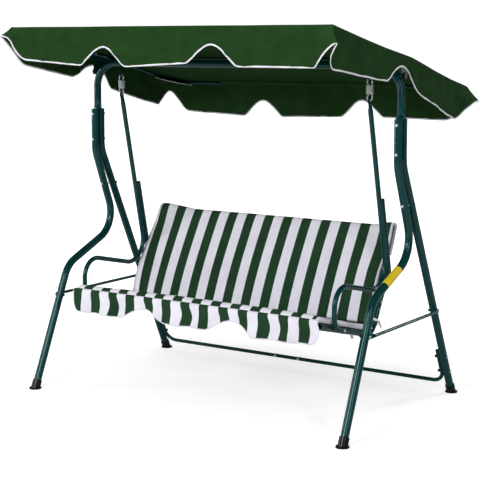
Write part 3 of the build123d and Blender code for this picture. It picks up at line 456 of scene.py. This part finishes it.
def striped_cloth(name, stripes, span):
    """Woven stripes along the cushion, with white hems down its two sides."""
    start, pitch, share = stripes
    material, tree, shader = new_material(name)
    place = object_place(tree)
    axis = add_node(tree, "ShaderNodeAttribute", {}, attribute_name="cloth_x").outputs["Fac"]
    thread = maths(tree, "MULTIPLY", noise_factor(tree, place, 700, 1), 0.0012)
    along = maths(tree, "DIVIDE", maths(tree, "SUBTRACT", maths(tree, "ADD", axis, thread), start), pitch)
    is_green = maths(tree, "LESS_THAN", maths(tree, "FRACT", along), share)
    after_left = maths(tree, "GREATER_THAN", axis, span[0] + HEM)
    before_right = maths(tree, "LESS_THAN", axis, span[1] - HEM)
    inside = maths(tree, "MULTIPLY", after_left, before_right)
    patches = remap(tree, noise_factor(tree, place, 16, 4), 0.3, 0.7, 0, 1)
    green = mix_colour(tree, patches, srgb(31, 60, 39), srgb(38, 69, 44))
    white = mix_colour(tree, patches, srgb(234, 232, 244), srgb(243, 241, 251))
    fill(tree, shader, {
        "Base Color": mix_colour(tree, maths(tree, "MULTIPLY", is_green, inside), white, green),
        "Roughness": 0.88, "Specular IOR Level": 0.12,
        "Normal": bump(tree, weave_height(tree, place, 0.0011), 0.3, 0.0004)})
    return material


# --- canopy ----------------------------------------------------------------------------------------
def roof_stretch(depth):
    """The two edges of the flat stretch of roof that a depth lies in."""
    return (CANOPY_FRONT, CANOPY_RIDGE) if depth < CANOPY_RIDGE[0] else (CANOPY_RIDGE, CANOPY_REAR)


def roof_height(depth):
    low, high = roof_stretch(depth)
    return low[1] + (high[1] - low[1]) * (depth - low[0]) / (high[0] - low[0])


def roof_point(x, depth):
    """The roof cloth: tight over its tubes, with a little slack between them."""
    low, high = roof_stretch(depth)
    share = (depth - low[0]) / (high[0] - low[0])
    slack = ROOF_SLACK * math.sin(math.pi * share) ** 1.2 * (0.45 + 0.55 * (1 - (x / CANOPY_HALF) ** 2))
    ripple = ROOF_RIPPLE * wobble(x, depth, 0.3, 6) * math.sin(math.pi * share)
    pull = ROOF_PULL * wobble(x, depth, 5.0, 4)
    return Vector((x, CROSSBAR_Y + depth, roof_height(depth) - slack + ripple + pull))


def even_steps(low, high, spacing):
    return list(np.linspace(low, high, max(2, round((high - low) / spacing)) + 1))


def notch(distance, half):
    """Share of a notch's full rise at a distance from its middle."""
    if abs(distance) >= half:
        return 0.0
    curve = math.cos(math.pi / 2 * distance / half)
    return 0.7 * curve + 0.3 * curve * curve


def corner_at(x, depth):
    """The corner nearest to a point of the roof's edge, and how far it is from its side and its end."""
    side = 1 if x > 0 else -1
    end = 1 if depth > CANOPY_RIDGE[0] else -1
    from_side = CANOPY_HALF - abs(x)
    from_end = CANOPY_REAR[0] - depth if end > 0 else depth - CANOPY_FRONT[0]
    return side, end, from_side, from_end


def cut_share(cloth_edge, away):
    """1 at the corner and 0 past the cut: an even S, or a sudden start that eases out if steep."""
    share = min(1.0, max(0.0, (cloth_edge.cut - away) / (cloth_edge.cut - cloth_edge.start)))
    return (share if cloth_edge.steep > 2 else smooth(share, 0, 1)) ** cloth_edge.steep


def skirt_drop(x, depth, on_end):
    """How far the hem hangs below the roof's edge."""
    side, end, from_side, from_end = corner_at(x, depth)
    corner = CORNERS[side, end]
    if on_end:
        places, half = (FRONT_NOTCHES, FRONT_NOTCH_HALF) if end < 0 else (REAR_NOTCHES, REAR_NOTCH_HALF)
        rise = sum(NOTCH_RISE * notch(x - place, half) for place in places)
        full = float(np.interp(x, *(FRONT_HEM if end < 0 else REAR_HEM)))
        away, cloth_edge = from_side, corner.end_edge
    else:
        rise = SIDE_NOTCH_RISE * notch(depth - SIDE_NOTCH, SIDE_NOTCH_HALVES[depth > SIDE_NOTCH])
        full = float(np.interp(depth, *(RIGHT_HEM if side > 0 else LEFT_HEM)))
        away, cloth_edge = from_end, corner.side_edge
    toward = cut_share(cloth_edge, away)
    return full - max(rise, (full - corner.drop) * toward)


def skirt_point(x, depth, share, on_end):
    """A point of the skirt, share of the way from the roof's edge down to the hem."""
    edge = roof_point(x, depth)
    down = skirt_drop(x, depth, on_end) * share
    side, end, from_side, from_end = corner_at(x, depth)
    corner = CORNERS[side, end]
    away, cloth_edge = (from_side, corner.end_edge) if on_end else (from_end, corner.side_edge)
    swing = min(1, down / corner.drop) ** 1.2
    across = corner.out_side * swing * math.exp(-(away / cloth_edge.reach_side) ** 2)
    along = corner.out_end * swing * math.exp(-(away / cloth_edge.reach_end) ** 2)
    run = x if on_end else depth
    seed = 3.0 * side + 7.0 * end if not on_end else 5.0 * end
    loose = smooth(down, 0, 0.16)
    fold = LONG_FOLD * wobble(run, seed, 0.3 * down, 6)
    fold += SHORT_FOLD * wobble(run + 0.7 * down, seed, 2 * down, 16)
    crease = CREASE * abs(wobble(run - 0.9 * down, seed + 2, down, 13))
    pucker = PUCKER * wobble(run, seed, down, 70) * smooth(share, 0.5, 1)
    out = (SKIRT_SET_OFF + fold + crease) * loose + pucker
    near_gathers = math.exp(-(away - GATHER_AT) ** 2 / 0.006)
    gathers = GATHER * abs(wobble(run + 1.2 * down, seed + 4, 0, 30)) * near_gathers
    out += gathers * smooth(share, 0, 0.3)
    if on_end:
        along += out * min(1, away / CALM_CORNER)
    else:
        across += out * min(1, away / CALM_CORNER)
    return edge + Vector((side * across, end * along, -down))


def canopy_outline():
    """The roof's edge, once round, with each point's grid place and whether it is on an end."""
    xs = even_steps(-CANOPY_HALF, CANOPY_HALF, GRID)
    depths = even_steps(CANOPY_FRONT[0], CANOPY_RIDGE[0], GRID)[:-1]
    depths += even_steps(CANOPY_RIDGE[0], CANOPY_REAR[0], GRID)
    last_x, last_depth = len(xs) - 1, len(depths) - 1
    edge = [(i, 0, True) for i in range(last_x)]
    edge += [(last_x, j, j == 0) for j in range(last_depth)]
    edge += [(i, last_depth, True) for i in range(last_x, 0, -1)]
    edge += [(0, j, j == last_depth) for j in range(last_depth, 0, -1)]
    return xs, depths, edge


def canopy_cover(material):
    """The cover in one sheet, roof and skirt, with the points of its hem and those just above it."""
    xs, depths, edge = canopy_outline()
    vertices = [roof_point(x, depth) for depth in depths for x in xs]
    faces = grid_faces(len(depths), len(xs))
    start = len(vertices)
    rings = [[j * len(xs) + i for i, j, _ in edge]]
    for row in range(1, SKIRT_ROWS + 1):
        share = row / SKIRT_ROWS
        rings.append([start + (row - 1) * len(edge) + k for k in range(len(edge))])
        vertices += [skirt_point(xs[i], depths[j], share, on_end) for i, j, on_end in edge]
    count = len(edge)
    for upper, lower in zip(rings, rings[1:]):
        for k in range(count):
            after = (k + 1) % count
            faces.append((upper[after], upper[k], lower[k], lower[after]))
    cover = new_mesh("canopy_cloth", vertices, faces, material)
    modifier(cover, "SUBSURF", levels=1, render_levels=1)
    modifier(cover, "SOLIDIFY", thickness=CANOPY_THICKNESS, offset=0)
    hem = [Vector(vertices[k]) for k in rings[-1]]
    above = [Vector(vertices[k]) for k in rings[-3]]
    return cover, hem, above


def hem_binding(name, hem, above, size, material, closed):
    """A folded white tape sewn over a hem: a soft band that follows it, a little puckered."""
    count = len(hem)
    path, across, outwards = [], [], []
    for k, (point, upper) in enumerate(zip(hem, above)):
        before = hem[k - 1] if closed or k else hem[0]
        after = hem[(k + 1) % count] if closed or k < count - 1 else hem[-1]
        tangent = (after - before).normalized()
        up = (upper - point).normalized()
        out = tangent.cross(up).normalized()
        inward = out.cross(tangent).normalized()
        ripple = 1 + 0.10 * wobble(point.x, point.y, point.z, 60)
        path.append(point + inward * (size[0] * 0.38))
        across.append(inward * ripple)
        outwards.append(out)
    band = sweep_band(name, path, across, outwards, size, material, closed)
    modifier(band, "SUBSURF", levels=1, render_levels=1)
    return band


def corner_pocket(side, end, cloth_material, tape_material):
    """A three-cornered pocket sewn into a corner of the roof, which slips over the tubes' elbow."""
    corner_depth = CANOPY_FRONT[0] if end < 0 else CANOPY_REAR[0]
    across, along = POCKET
    steps = 14
    name = f"canopy_pocket_{'front' if end < 0 else 'rear'}_{'left' if side < 0 else 'right'}"
    vertices, faces = [], []
    for row in range(steps + 1):
        for column in range(steps + 1):
            u, v = row / steps, column / steps * (1 - row / steps)
            x = side * (CANOPY_HALF - POCKET_INSET - across * v)
            depth = corner_depth - end * (POCKET_INSET + along * u)
            drop = POCKET_DROP * (1 - math.exp(-10 * (v + 0.14))) * (1 - math.exp(-10 * (u + 0.14)))
            vertices.append(roof_point(x, depth) - Vector((0, 0, drop + 0.003)))
    for row in range(steps):
        for column in range(steps):
            a = row * (steps + 1) + column
            if row == steps - 1:
                faces.append((a, a + 1, a + steps + 1))
            else:
                faces.append((a, a + 1, a + steps + 2, a + steps + 1))
    pocket = new_mesh(name, vertices, faces, cloth_material)
    modifier(pocket, "SOLIDIFY", thickness=THIN_CLOTH, offset=0)
    diagonal = [vertices[row * (steps + 1) + steps] for row in range(steps)]
    inner = [vertices[row * (steps + 1) + steps - 2] for row in range(steps)]
    tape = hem_binding(name + "_tape", diagonal, inner, POCKET_TAPE, tape_material, False)
    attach(pocket, "canopy")
    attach(tape, "canopy")


def rear_sleeve(material):
    """The hem sewn under the roof that the rear tube slides into."""
    low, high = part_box("canopy_rear_tube")
    middle = (low + high) / 2
    radius = (high.z - low.z) / 2 + SLEEVE_GAP
    section = []
    for turn in np.radians(np.linspace(-20, -160, 11)):
        section.append((middle.y + radius * math.cos(turn), middle.z + radius * math.sin(turn)))
    front, rear = middle.y - SLEEVE_SEAMS[0], middle.y + SLEEVE_SEAMS[1]
    start = (rear, roof_height(rear - CROSSBAR_Y) - SEAM_DROPS[1])
    finish = (front, roof_height(front - CROSSBAR_Y) - SEAM_DROPS[0])
    section = [start, *section, finish]
    xs = even_steps(*REAR_SLEEVE, 0.012)
    vertices = []
    for x in xs:
        for k, (y, z) in enumerate(section):
            slack = 0.0012 * wobble(x, y, z, 30) * (0 < k < len(section) - 1)
            vertices.append(Vector((x, y, z - abs(slack))))
    sleeve = new_mesh("canopy_rear_sleeve", vertices, grid_faces(len(xs), len(section)), material)
    modifier(sleeve, "SOLIDIFY", thickness=THIN_CLOTH, offset=0)
    modifier(sleeve, "SUBSURF", levels=1, render_levels=1)
    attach(sleeve, "canopy")


def make_canopy():
    green = cloth("canopy_cloth", srgb(31, 59, 28), srgb(37, 68, 32), 0.0012, 0.35, 0.04)
    tape = cloth("white_tape", srgb(228, 227, 236), srgb(238, 237, 245), 0.0009, 0.25)
    rear_sleeve(green)
    cover, hem, above = canopy_cover(green)
    binding = hem_binding("canopy_binding", hem, above, BINDING, tape, True)
    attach(cover, "canopy")
    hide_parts("canopy_cover")
    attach(binding, "canopy")
    for side in (-1, 1):
        for end in (-1, 1):
            corner_pocket(side, end, green, tape)


# --- seat ------------------------------------------------------------------------------------------
def seat_point(back, above):
    """(depth, height) behind the front rail, in the sloping plane of the seat."""
    return (FRONT_RAIL[0] + back * math.cos(SEAT_TILT) + above * math.sin(SEAT_TILT),
            FRONT_RAIL[1] - back * math.sin(SEAT_TILT) + above * math.cos(SEAT_TILT))


def back_point(down, front):
    """(depth, height) below the top rail, in the reclined plane of the back."""
    return (TOP_RAIL[0] - down * math.sin(BACK_TILT) - front * math.cos(BACK_TILT),
            TOP_RAIL[1] - down * math.cos(BACK_TILT) + front * math.sin(BACK_TILT))


def seat_back_corner(above, front):
    """Where a line above the seat's plane meets one in front of the back's plane."""
    seat_slope, back_slope = math.tan(SEAT_TILT), math.tan(BACK_TILT)
    seat_at, back_at = seat_point(0, above), back_point(0, front)
    height = seat_at[1] + seat_slope * (seat_at[0] - back_at[0] + back_slope * back_at[1])
    height /= 1 + seat_slope * back_slope
    return (back_at[0] - back_slope * (back_at[1] - height), height)


def resample(points, spacing):
    """Points at an even spacing along a line of (depth, height) points."""
    line = np.array(points)
    lengths = np.concatenate([[0], np.cumsum(np.linalg.norm(np.diff(line, axis=0), axis=1))])
    steps = np.linspace(0, lengths[-1], max(2, round(lengths[-1] / spacing)) + 1)
    depths, heights = (np.interp(steps, lengths, line[:, axis]) for axis in (0, 1))
    return [Vector((0, depth, height)) for depth, height in zip(depths, heights)]


def arc(centre, radius, start, end):
    """Points of an arc; angles in degrees from backwards, through upwards."""
    turns = np.radians(np.linspace(start, end, ARC_STEPS + 1))
    return [(centre[0] + radius * math.cos(t), centre[1] + radius * math.sin(t)) for t in turns]


def line_normals(line, facing):
    normals = []
    for k, point in enumerate(line):
        tangent = (line[min(k + 1, len(line) - 1)] - line[max(k - 1, 0)]).normalized()
        normals.append(Vector((0, -tangent.z, tangent.y)) * facing)
    return normals


def cushion(name, line, facing, span, flat_hem, thickness, shift, material):
    """A closed pad on a line of its side view: crowned, sewn in at its hems and rounded at its rim.

    flat_hem is the share of its thickness that its side hems keep, thickness(share) is its depth along
    the line, and shift(share, x) moves its points.
    """
    normals = line_normals(line, facing)
    xs = even_steps(*span, 0.009)
    middle_x, half_x = (span[0] + span[1]) / 2, (span[1] - span[0]) / 2
    lengths = [0]
    for before, after in zip(line, line[1:]):
        lengths.append(lengths[-1] + (after - before).length)
    top, bottom = [], []
    for k, point in enumerate(line):
        share = lengths[k] / lengths[-1]
        deep = thickness(share)
        for x in xs:
            from_side = min(x - span[0], span[1] - x)
            from_end = min(lengths[k], lengths[-1] - lengths[k])
            rim = min(1.0, min(from_side, from_end) / (0.45 * deep + 0.004))
            full = deep * math.sqrt(max(0.0, 1 - (1 - rim) ** 2))
            seam = 1 - 0.3 * math.exp(-((from_side - HEM) / 0.003) ** 2)
            seam *= 1 - (1 - flat_hem) * (1 - smooth(from_side, 0.7 * HEM, HEM + 0.016))
            bulge = PAD_CROWN * math.cos(math.pi / 2 * (x - middle_x) / half_x)
            crown = 1 + bulge + PAD_UNEVEN * wobble(x, point.y, point.z, 9)
            moved = shift(share, x)
            place = Vector((x + moved[0], CROSSBAR_Y + point.y + moved[1], point.z + moved[2]))
            middle = normals[k] * (deep / 2)
            half = full * seam * crown / 2
            top.append(place + middle + normals[k] * half)
            bottom.append(place + middle - normals[k] * min(half, middle.length))
    columns = len(xs)
    faces = [tuple(f if facing > 0 else reversed(f)) for f in grid_faces(len(line), columns)]
    offset = len(line) * columns
    faces += [tuple(reversed([v + offset for v in f])) for f in faces]
    pad = new_mesh(name, top + bottom, faces, material)
    mark_cloth(pad, xs * (2 * len(line)))
    modifier(pad, "WELD", merge_threshold=0.0001)
    apply_modifiers(pad)
    return pad


def make_seat_pad():
    """The seat cushion: from the foot of the back, forwards and down over the front rail."""
    low = RAIL_RADIUS + SLING + 0.0006
    back = seat_back_corner(low, TOP_RAIL_RADIUS + SLING + 0.001)
    wrap = arc(FRONT_RAIL, low, 90 - math.degrees(SEAT_TILT), 182)
    line = resample([back, *wrap], 0.006)
    upwards = line_normals(line, -1)[0]
    middle = sum(SEAT_SPAN) / 2
    half = (SEAT_SPAN[1] - SEAT_SPAN[0]) / 2

    def thickness(share):
        return SEAT_PAD * (1 - 0.80 * smooth(share, 0.935, 1.0))

    def shift(share, x):
        """Sagged under its sitters, with a soft fold over the front rail."""
        across = 1 - abs((x - middle) / half) ** 4
        sag = 0.9 * SEAT_SAG * math.sin(math.pi * min(1, share / 0.93)) ** 1.5 * across
        lift = 0.006 * across * smooth(share, 0.86, 0.95) * (1 - smooth(share, 0.96, 1))
        wave = 0.003 * wobble(x, share, 1.0, 8) * smooth(share, 0.8, 0.95)
        return upwards * (lift + wave - sag)

    material = striped_cloth("seat_stripes", STRIPE_SEAT, SEAT_SPAN)
    pad = cushion("seat_cushion", line, -1, SEAT_SPAN, 1.0, thickness, shift, material)
    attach(pad, "seat")
    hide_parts("seat_pad")


def make_back_pad():
    """The back cushion: from the seat up its reclined face and over the top rail, into a short pocket."""
    near = TOP_RAIL_RADIUS + SLING + 0.001
    foot = seat_back_corner(RAIL_RADIUS + SLING + SEAT_PAD + 0.0015, near)
    lean = math.degrees(BACK_TILT)
    wrap = arc(TOP_RAIL, near, 180 - lean, -lean)
    line = resample([foot, *wrap, back_point(POCKET_DEPTH, -near)], 0.008)
    face = math.dist(foot, wrap[0]) / (math.dist(foot, wrap[0]) + math.pi * near + POCKET_DEPTH)
    forward = line_normals(line, 1)[0]

    def thickness(share):
        return BACK_PAD - 0.0095 * smooth(share, face, face + 0.07)

    def shift(share, x):
        """Bowed forward, gathered in at its lower left corner and pulled up at its top ones."""
        up = min(1, share / face)
        left = smooth(-x, 0.576, 0.606)
        right = smooth(x, 0.40, 0.594)
        bow = 0.010 * math.sin(math.pi * up ** 0.8)
        bow += 0.026 * left * math.sin(math.pi * (0.16 + 0.84 * up) ** 0.75) ** 1.2 * (1 - 0.4 * up)
        bow += (0.014 * math.sin(math.pi * up) ** 1.5 - 0.020 * smooth(up, 0.45, 1) * (1 - up) * 4) * right
        corner = smooth(-x, 0.38, 0.598) + smooth(x, 0.49, 0.594)
        lift = 0.013 * corner * smooth(share, face - 0.14, face + 0.02)
        lift *= 1 - smooth(share, face + 0.10, face + 0.2)
        drape = 0.004 * smooth(share, face - 0.08, face) * (1 - corner)
        drape *= 1 - smooth(share, face + 0.04, face + 0.1)
        bow *= 1 - smooth(share, face, face + 0.03)
        move = forward * bow
        gather = 0.022 * (1 - up) * smooth(x, BACK_SPAN[0], -0.596) * (1 - smooth(x, -0.590, -0.470))
        gather -= 0.003 * left * math.sin(math.pi * up)
        return Vector((gather, move.y, move.z + lift - drape))

    material = striped_cloth("back_stripes", STRIPE_BACK, (BACK_SPAN[0], BACK_SPAN[1] + 0.7 * HEM))
    pad = cushion("back_cushion", line, 1, BACK_SPAN, 0.45, thickness, shift, material)
    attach(pad, "seat")
    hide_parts("back_pad")


def valance_hem(x):
    """Height of the seat valance's hem."""
    rise = sum(SEAT_NOTCH_RISE * notch(x - place, SEAT_NOTCH_HALF) for place in SEAT_NOTCHES)
    corner = min(x - VALANCE_SPAN[0], VALANCE_SPAN[1] - x)
    rounding = 0.034
    if corner < rounding:
        rise += rounding - math.sqrt(max(0, rounding ** 2 - (rounding - corner) ** 2))
    return VALANCE_BOTTOM + rise + 0.0025 * math.sin(11 * x + 1)


def valance_point(x, share):
    """A point of the flap: over the cushion's front at first, then down in soft S-shaped folds."""
    top = seat_point(-0.0155, 0)[0]
    height = VALANCE_TOP + (valance_hem(x) - VALANCE_TOP) * share
    down = VALANCE_TOP - height
    front = top - 0.0015 - 0.0105 * math.sqrt(1 - (1 - min(1, down / 0.022)) ** 2)
    loose = smooth(down, 0.006, 0.080)
    phase = 2 * math.pi * x / 0.128 + 0.9 * math.sin(4.3 * x + 0.7)
    fold = 0.0075 * math.sin(phase) + 0.0065 * wobble(x, 0.8 * down, 1.7, 9)
    belly = math.sin(math.pi * min(1, down / 0.105)) ** 1.5
    sway = (0.010 + 0.006 * math.sin(phase * 0.62 + 1.2)) * belly * smooth(x, VALANCE_SPAN[0], -0.35)
    sway += 0.004 * wobble(x, down, 4.0, 10) * loose
    return Vector((x + sway, CROSSBAR_Y + front - 0.002 * loose + fold * loose, height))


def make_seat_valance():
    """The flap sewn to the seat's front fold: it falls in soft folds to a scalloped, piped hem."""
    rows = VALANCE_ROWS
    xs = even_steps(*VALANCE_SPAN, 0.007)
    columns = len(xs)
    vertices = [valance_point(x, row / rows) for row in range(rows + 1) for x in xs]
    material = striped_cloth("valance_stripes", STRIPE_VALANCE, (VALANCE_SPAN[0] - HEM, VALANCE_SPAN[1]))
    flap = new_mesh("seat_valance_cloth", vertices, grid_faces(rows + 1, columns), material)
    mark_cloth(flap, xs * (rows + 1))
    modifier(flap, "SUBSURF", levels=1, render_levels=1)
    modifier(flap, "SOLIDIFY", thickness=VALANCE_CLOTH, offset=0)
    hem_row = vertices[rows * columns:]
    above = vertices[(rows - 2) * columns:(rows - 1) * columns]
    left = [vertices[row * columns] for row in range(4, rows)]
    left_in = [vertices[row * columns + 2] for row in range(4, rows)]
    right = [vertices[(row + 1) * columns - 1] for row in range(rows - 1, 3, -1)]
    right_in = [vertices[(row + 1) * columns - 3] for row in range(rows - 1, 3, -1)]
    tape = cloth("valance_tape", srgb(218, 216, 229), srgb(230, 228, 239), 0.0009, 0.25)
    piping = hem_binding("seat_valance_piping", left + hem_row + right, left_in + above + right_in,
                         PIPING, tape, False)
    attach(flap, "seat")
    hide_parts("seat_valance")
    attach(piping, "seat")


def make_sling():
    """The woven support: over the front rail, down under the cushions and up to the top rail."""
    low, near = RAIL_RADIUS + 0.0011, TOP_RAIL_RADIUS + 0.0011
    front_wrap = arc(FRONT_RAIL, low, 240, 90 - math.degrees(SEAT_TILT))
    lean = math.degrees(BACK_TILT)
    top_wrap = arc(TOP_RAIL, near, 180 - lean, -lean - 30)
    line = resample([*front_wrap, seat_back_corner(low, near), *top_wrap], 0.012)
    xs = even_steps(-SLING_HALF, SLING_HALF, 0.012)
    count = len(line)
    foot = Vector((0, *seat_back_corner(low, near)))
    corner = min(range(count), key=lambda k: (line[k] - foot).length)
    normals = line_normals(line, 1)
    vertices = []
    for k, point in enumerate(line):
        share = k / corner if k < corner else (k - corner) / (count - 1 - corner)
        for x in xs:
            slack = SEAT_SAG * 1.3 if k < corner else 0.003
            slack *= math.sin(math.pi * share) ** 1.3 * (1 - (x / SLING_HALF) ** 4)
            ripple = 0.002 * wobble(x, point.y, point.z, 14) * math.sin(math.pi * share)
            away = -normals[k] * (slack + ripple)
            vertices.append(Vector((x, CROSSBAR_Y + point.y, point.z)) + away)
    material = cloth("sling_cloth", srgb(40, 62, 48), srgb(48, 72, 56), 0.0022, 0.6)
    sling = new_mesh("sling", vertices, grid_faces(count, len(xs)), material)
    modifier(sling, "SOLIDIFY", thickness=0.0012, offset=0)
    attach(sling, "seat")
    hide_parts("support_sling")


# --- ties and tag ----------------------------------------------------------------------------------
def ribbon(name, path, twist, material):
    """A narrow woven ribbon along a path, turning about it as it goes."""
    across, outwards = [], []
    for k, point in enumerate(path):
        tangent = (path[min(k + 1, len(path) - 1)] - path[max(k - 1, 0)]).normalized()
        turn = math.radians(twist * k / (len(path) - 1))
        flat = Vector((math.cos(turn), math.sin(turn), 0))
        side = (flat - tangent * flat.dot(tangent)).normalized()
        across.append(side)
        outwards.append(side.cross(tangent))
    return sweep_band(name, path, across, outwards, TIE_SIZE, material, False)


def tie_knot(name, centre, side, material):
    """An uneven lump of cloth."""
    rings, around = 10, 16
    lump = []
    for i in range(1, rings):
        for j in range(around):
            a, b = math.pi * i / rings, 2 * math.pi * j / around
            out = Vector((math.sin(a) * math.cos(b), math.sin(a) * math.sin(b), math.cos(a)))
            size = 1 + 0.35 * wobble(out.x, out.y, out.z + side, 1.6)
            lump.append(centre + Vector((out.x * KNOT[0], out.y * KNOT[1], out.z * KNOT[2])) * size)
    faces = grid_faces(rings - 1, around, wrap_columns=True)
    faces.append(tuple(range(around)))
    faces.append(tuple(reversed(range((rings - 2) * around, (rings - 1) * around))))
    return new_mesh(name, lump, faces, material)


def tail_path(knot_at, side, lean_out, length):
    """A short end: up out of the knot, over and down, with an S in it."""
    points = []
    for k in range(TAIL_STEPS + 1):
        run = length * k / TAIL_STEPS
        bend = math.sin(1.5 * math.pi * k / TAIL_STEPS)
        sideways = side * (0.3 * lean_out * run + 0.003 * bend)
        backwards = lean_out * run * 0.45 + 0.004 * bend
        upwards = 0.008 * math.sin(math.pi * min(1, run / 0.016)) - run * 0.88
        points.append(knot_at + Vector((sideways, backwards, upwards)))
    return points


def make_tie(side, material):
    """A cloth tie knotted round the side frame behind the seat, with two short ends."""
    which = "left" if side < 0 else "right"
    name = "cushion_tie_" + which
    lean = Vector((0, FRAME_LEAN, 1)).normalized()
    depth = CROSSBAR_Y + FRAME_AT[0] + FRAME_LEAN * (TIE_HEIGHT - FRAME_AT[1])
    middle = Vector((side * FRAME_X, depth, TIE_HEIGHT))
    radius = FRAME_RADIUS + TIE_SIZE[1] / 2 + 0.0002
    back = lean.cross(Vector((1, 0, 0)))
    path, outwards = [], []
    for turn in np.radians(np.arange(0, 360, 12)):
        out = Vector((math.cos(turn), 0, 0)) + back * math.sin(turn)
        outwards.append(out)
        path.append(middle + out * radius + lean * (0.002 * math.sin(2 * turn)))
    loop = sweep_band(name + "_loop", path, [lean] * len(path), outwards, TIE_SIZE, material, True)
    knot_at = middle + back * (radius + KNOT_OFFSET)
    knot = tie_knot(name + "_knot", knot_at, side, material)
    tails = []
    for number, (lean_out, length, twist) in enumerate(TIE_TAILS):
        points = tail_path(knot_at, side, lean_out, length)
        tails.append(ribbon(f"{name}_end_{number + 1}", points, twist, material))
    for piece in (loop, knot, *tails):
        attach(piece, "seat")
    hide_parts("cushion_ties")


def make_tag():
    """The small sewn tag that hangs below the right side rail, left plain."""
    material = cloth("tag_cloth", srgb(188, 188, 192), srgb(204, 204, 208), 0.0006, 0.2)
    columns, rows = 9, 7
    vertices = []
    for row in range(rows):
        for column in range(columns):
            u, v = column / (columns - 1), row / (rows - 1)
            x = TAG_PLACE.x + 0.004 * v * v + 0.0015 * math.sin(3 * u + 2 * v)
            y = TAG_PLACE.y + TAG_SIZE[0] * (u - 0.5)
            z = TAG_PLACE.z - TAG_SIZE[1] * v - 0.005 * u
            vertices.append(Vector((x, y, z)))
    tag = new_mesh("sewn_tag", vertices, grid_faces(rows, columns), material)
    modifier(tag, "SOLIDIFY", thickness=0.0006, offset=0)
    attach(tag, "seat")


# --- springs ---------------------------------------------------------------------------------------
def make_spring(side, material):
    """The closely wound coil, which stretches between its two hooks."""
    low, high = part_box("spring_coil_" + side)
    centre = (low + high) / 2
    height = COIL_TURNS * COIL_PITCH
    sign = -1 if side == "left" else 1
    ring, steps = 12, COIL_TURNS * 40
    vertices = []
    for k in range(steps + 1):
        turn = 2 * math.pi * COIL_TURNS * k / steps
        out = Vector((sign * math.cos(turn), math.sin(turn), 0))
        point = centre + out * COIL_RADIUS + Vector((0, 0, height * (k / steps - 0.5)))
        for j in range(ring):
            around = 2 * math.pi * j / ring
            rise = Vector((0, 0, WIRE / 2 * math.sin(around)))
            vertices.append(point + out * (WIRE / 2 * math.cos(around)) + rise)
    faces = grid_faces(steps + 1, ring, wrap_columns=True)
    faces.append(tuple(reversed(range(ring))))
    faces.append(tuple(steps * ring + j for j in range(ring)))
    coil = new_mesh("coil_" + side, vertices, faces, material)
    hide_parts("spring_coil_" + side)
    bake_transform(coil)


# --- finishes on the frame's own pieces ------------------------------------------------------------
def finish_frame(finishes):
    """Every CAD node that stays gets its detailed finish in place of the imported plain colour."""
    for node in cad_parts.values():
        for place in node.material_slots:
            place.material = finishes.get(place.material.name.split(".")[0], place.material)


make_camera()
finishes = {"frame_paint": powder_coat(), "zinc_steel": zinc(), "black_plastic": moulded_plastic(),
            "yellow_film": yellow_film()}
make_stage()
finish_frame(finishes)
make_canopy()
make_seat_pad()
make_back_pad()
make_seat_valance()
make_sling()
tie_cloth = cloth("tie_cloth", srgb(226, 225, 234), srgb(238, 237, 244), 0.0008, 0.25)
for side in (-1, 1):
    make_tie(side, tie_cloth)
make_tag()
for side in ("left", "right"):
    make_spring(side, finishes["zinc_steel"])
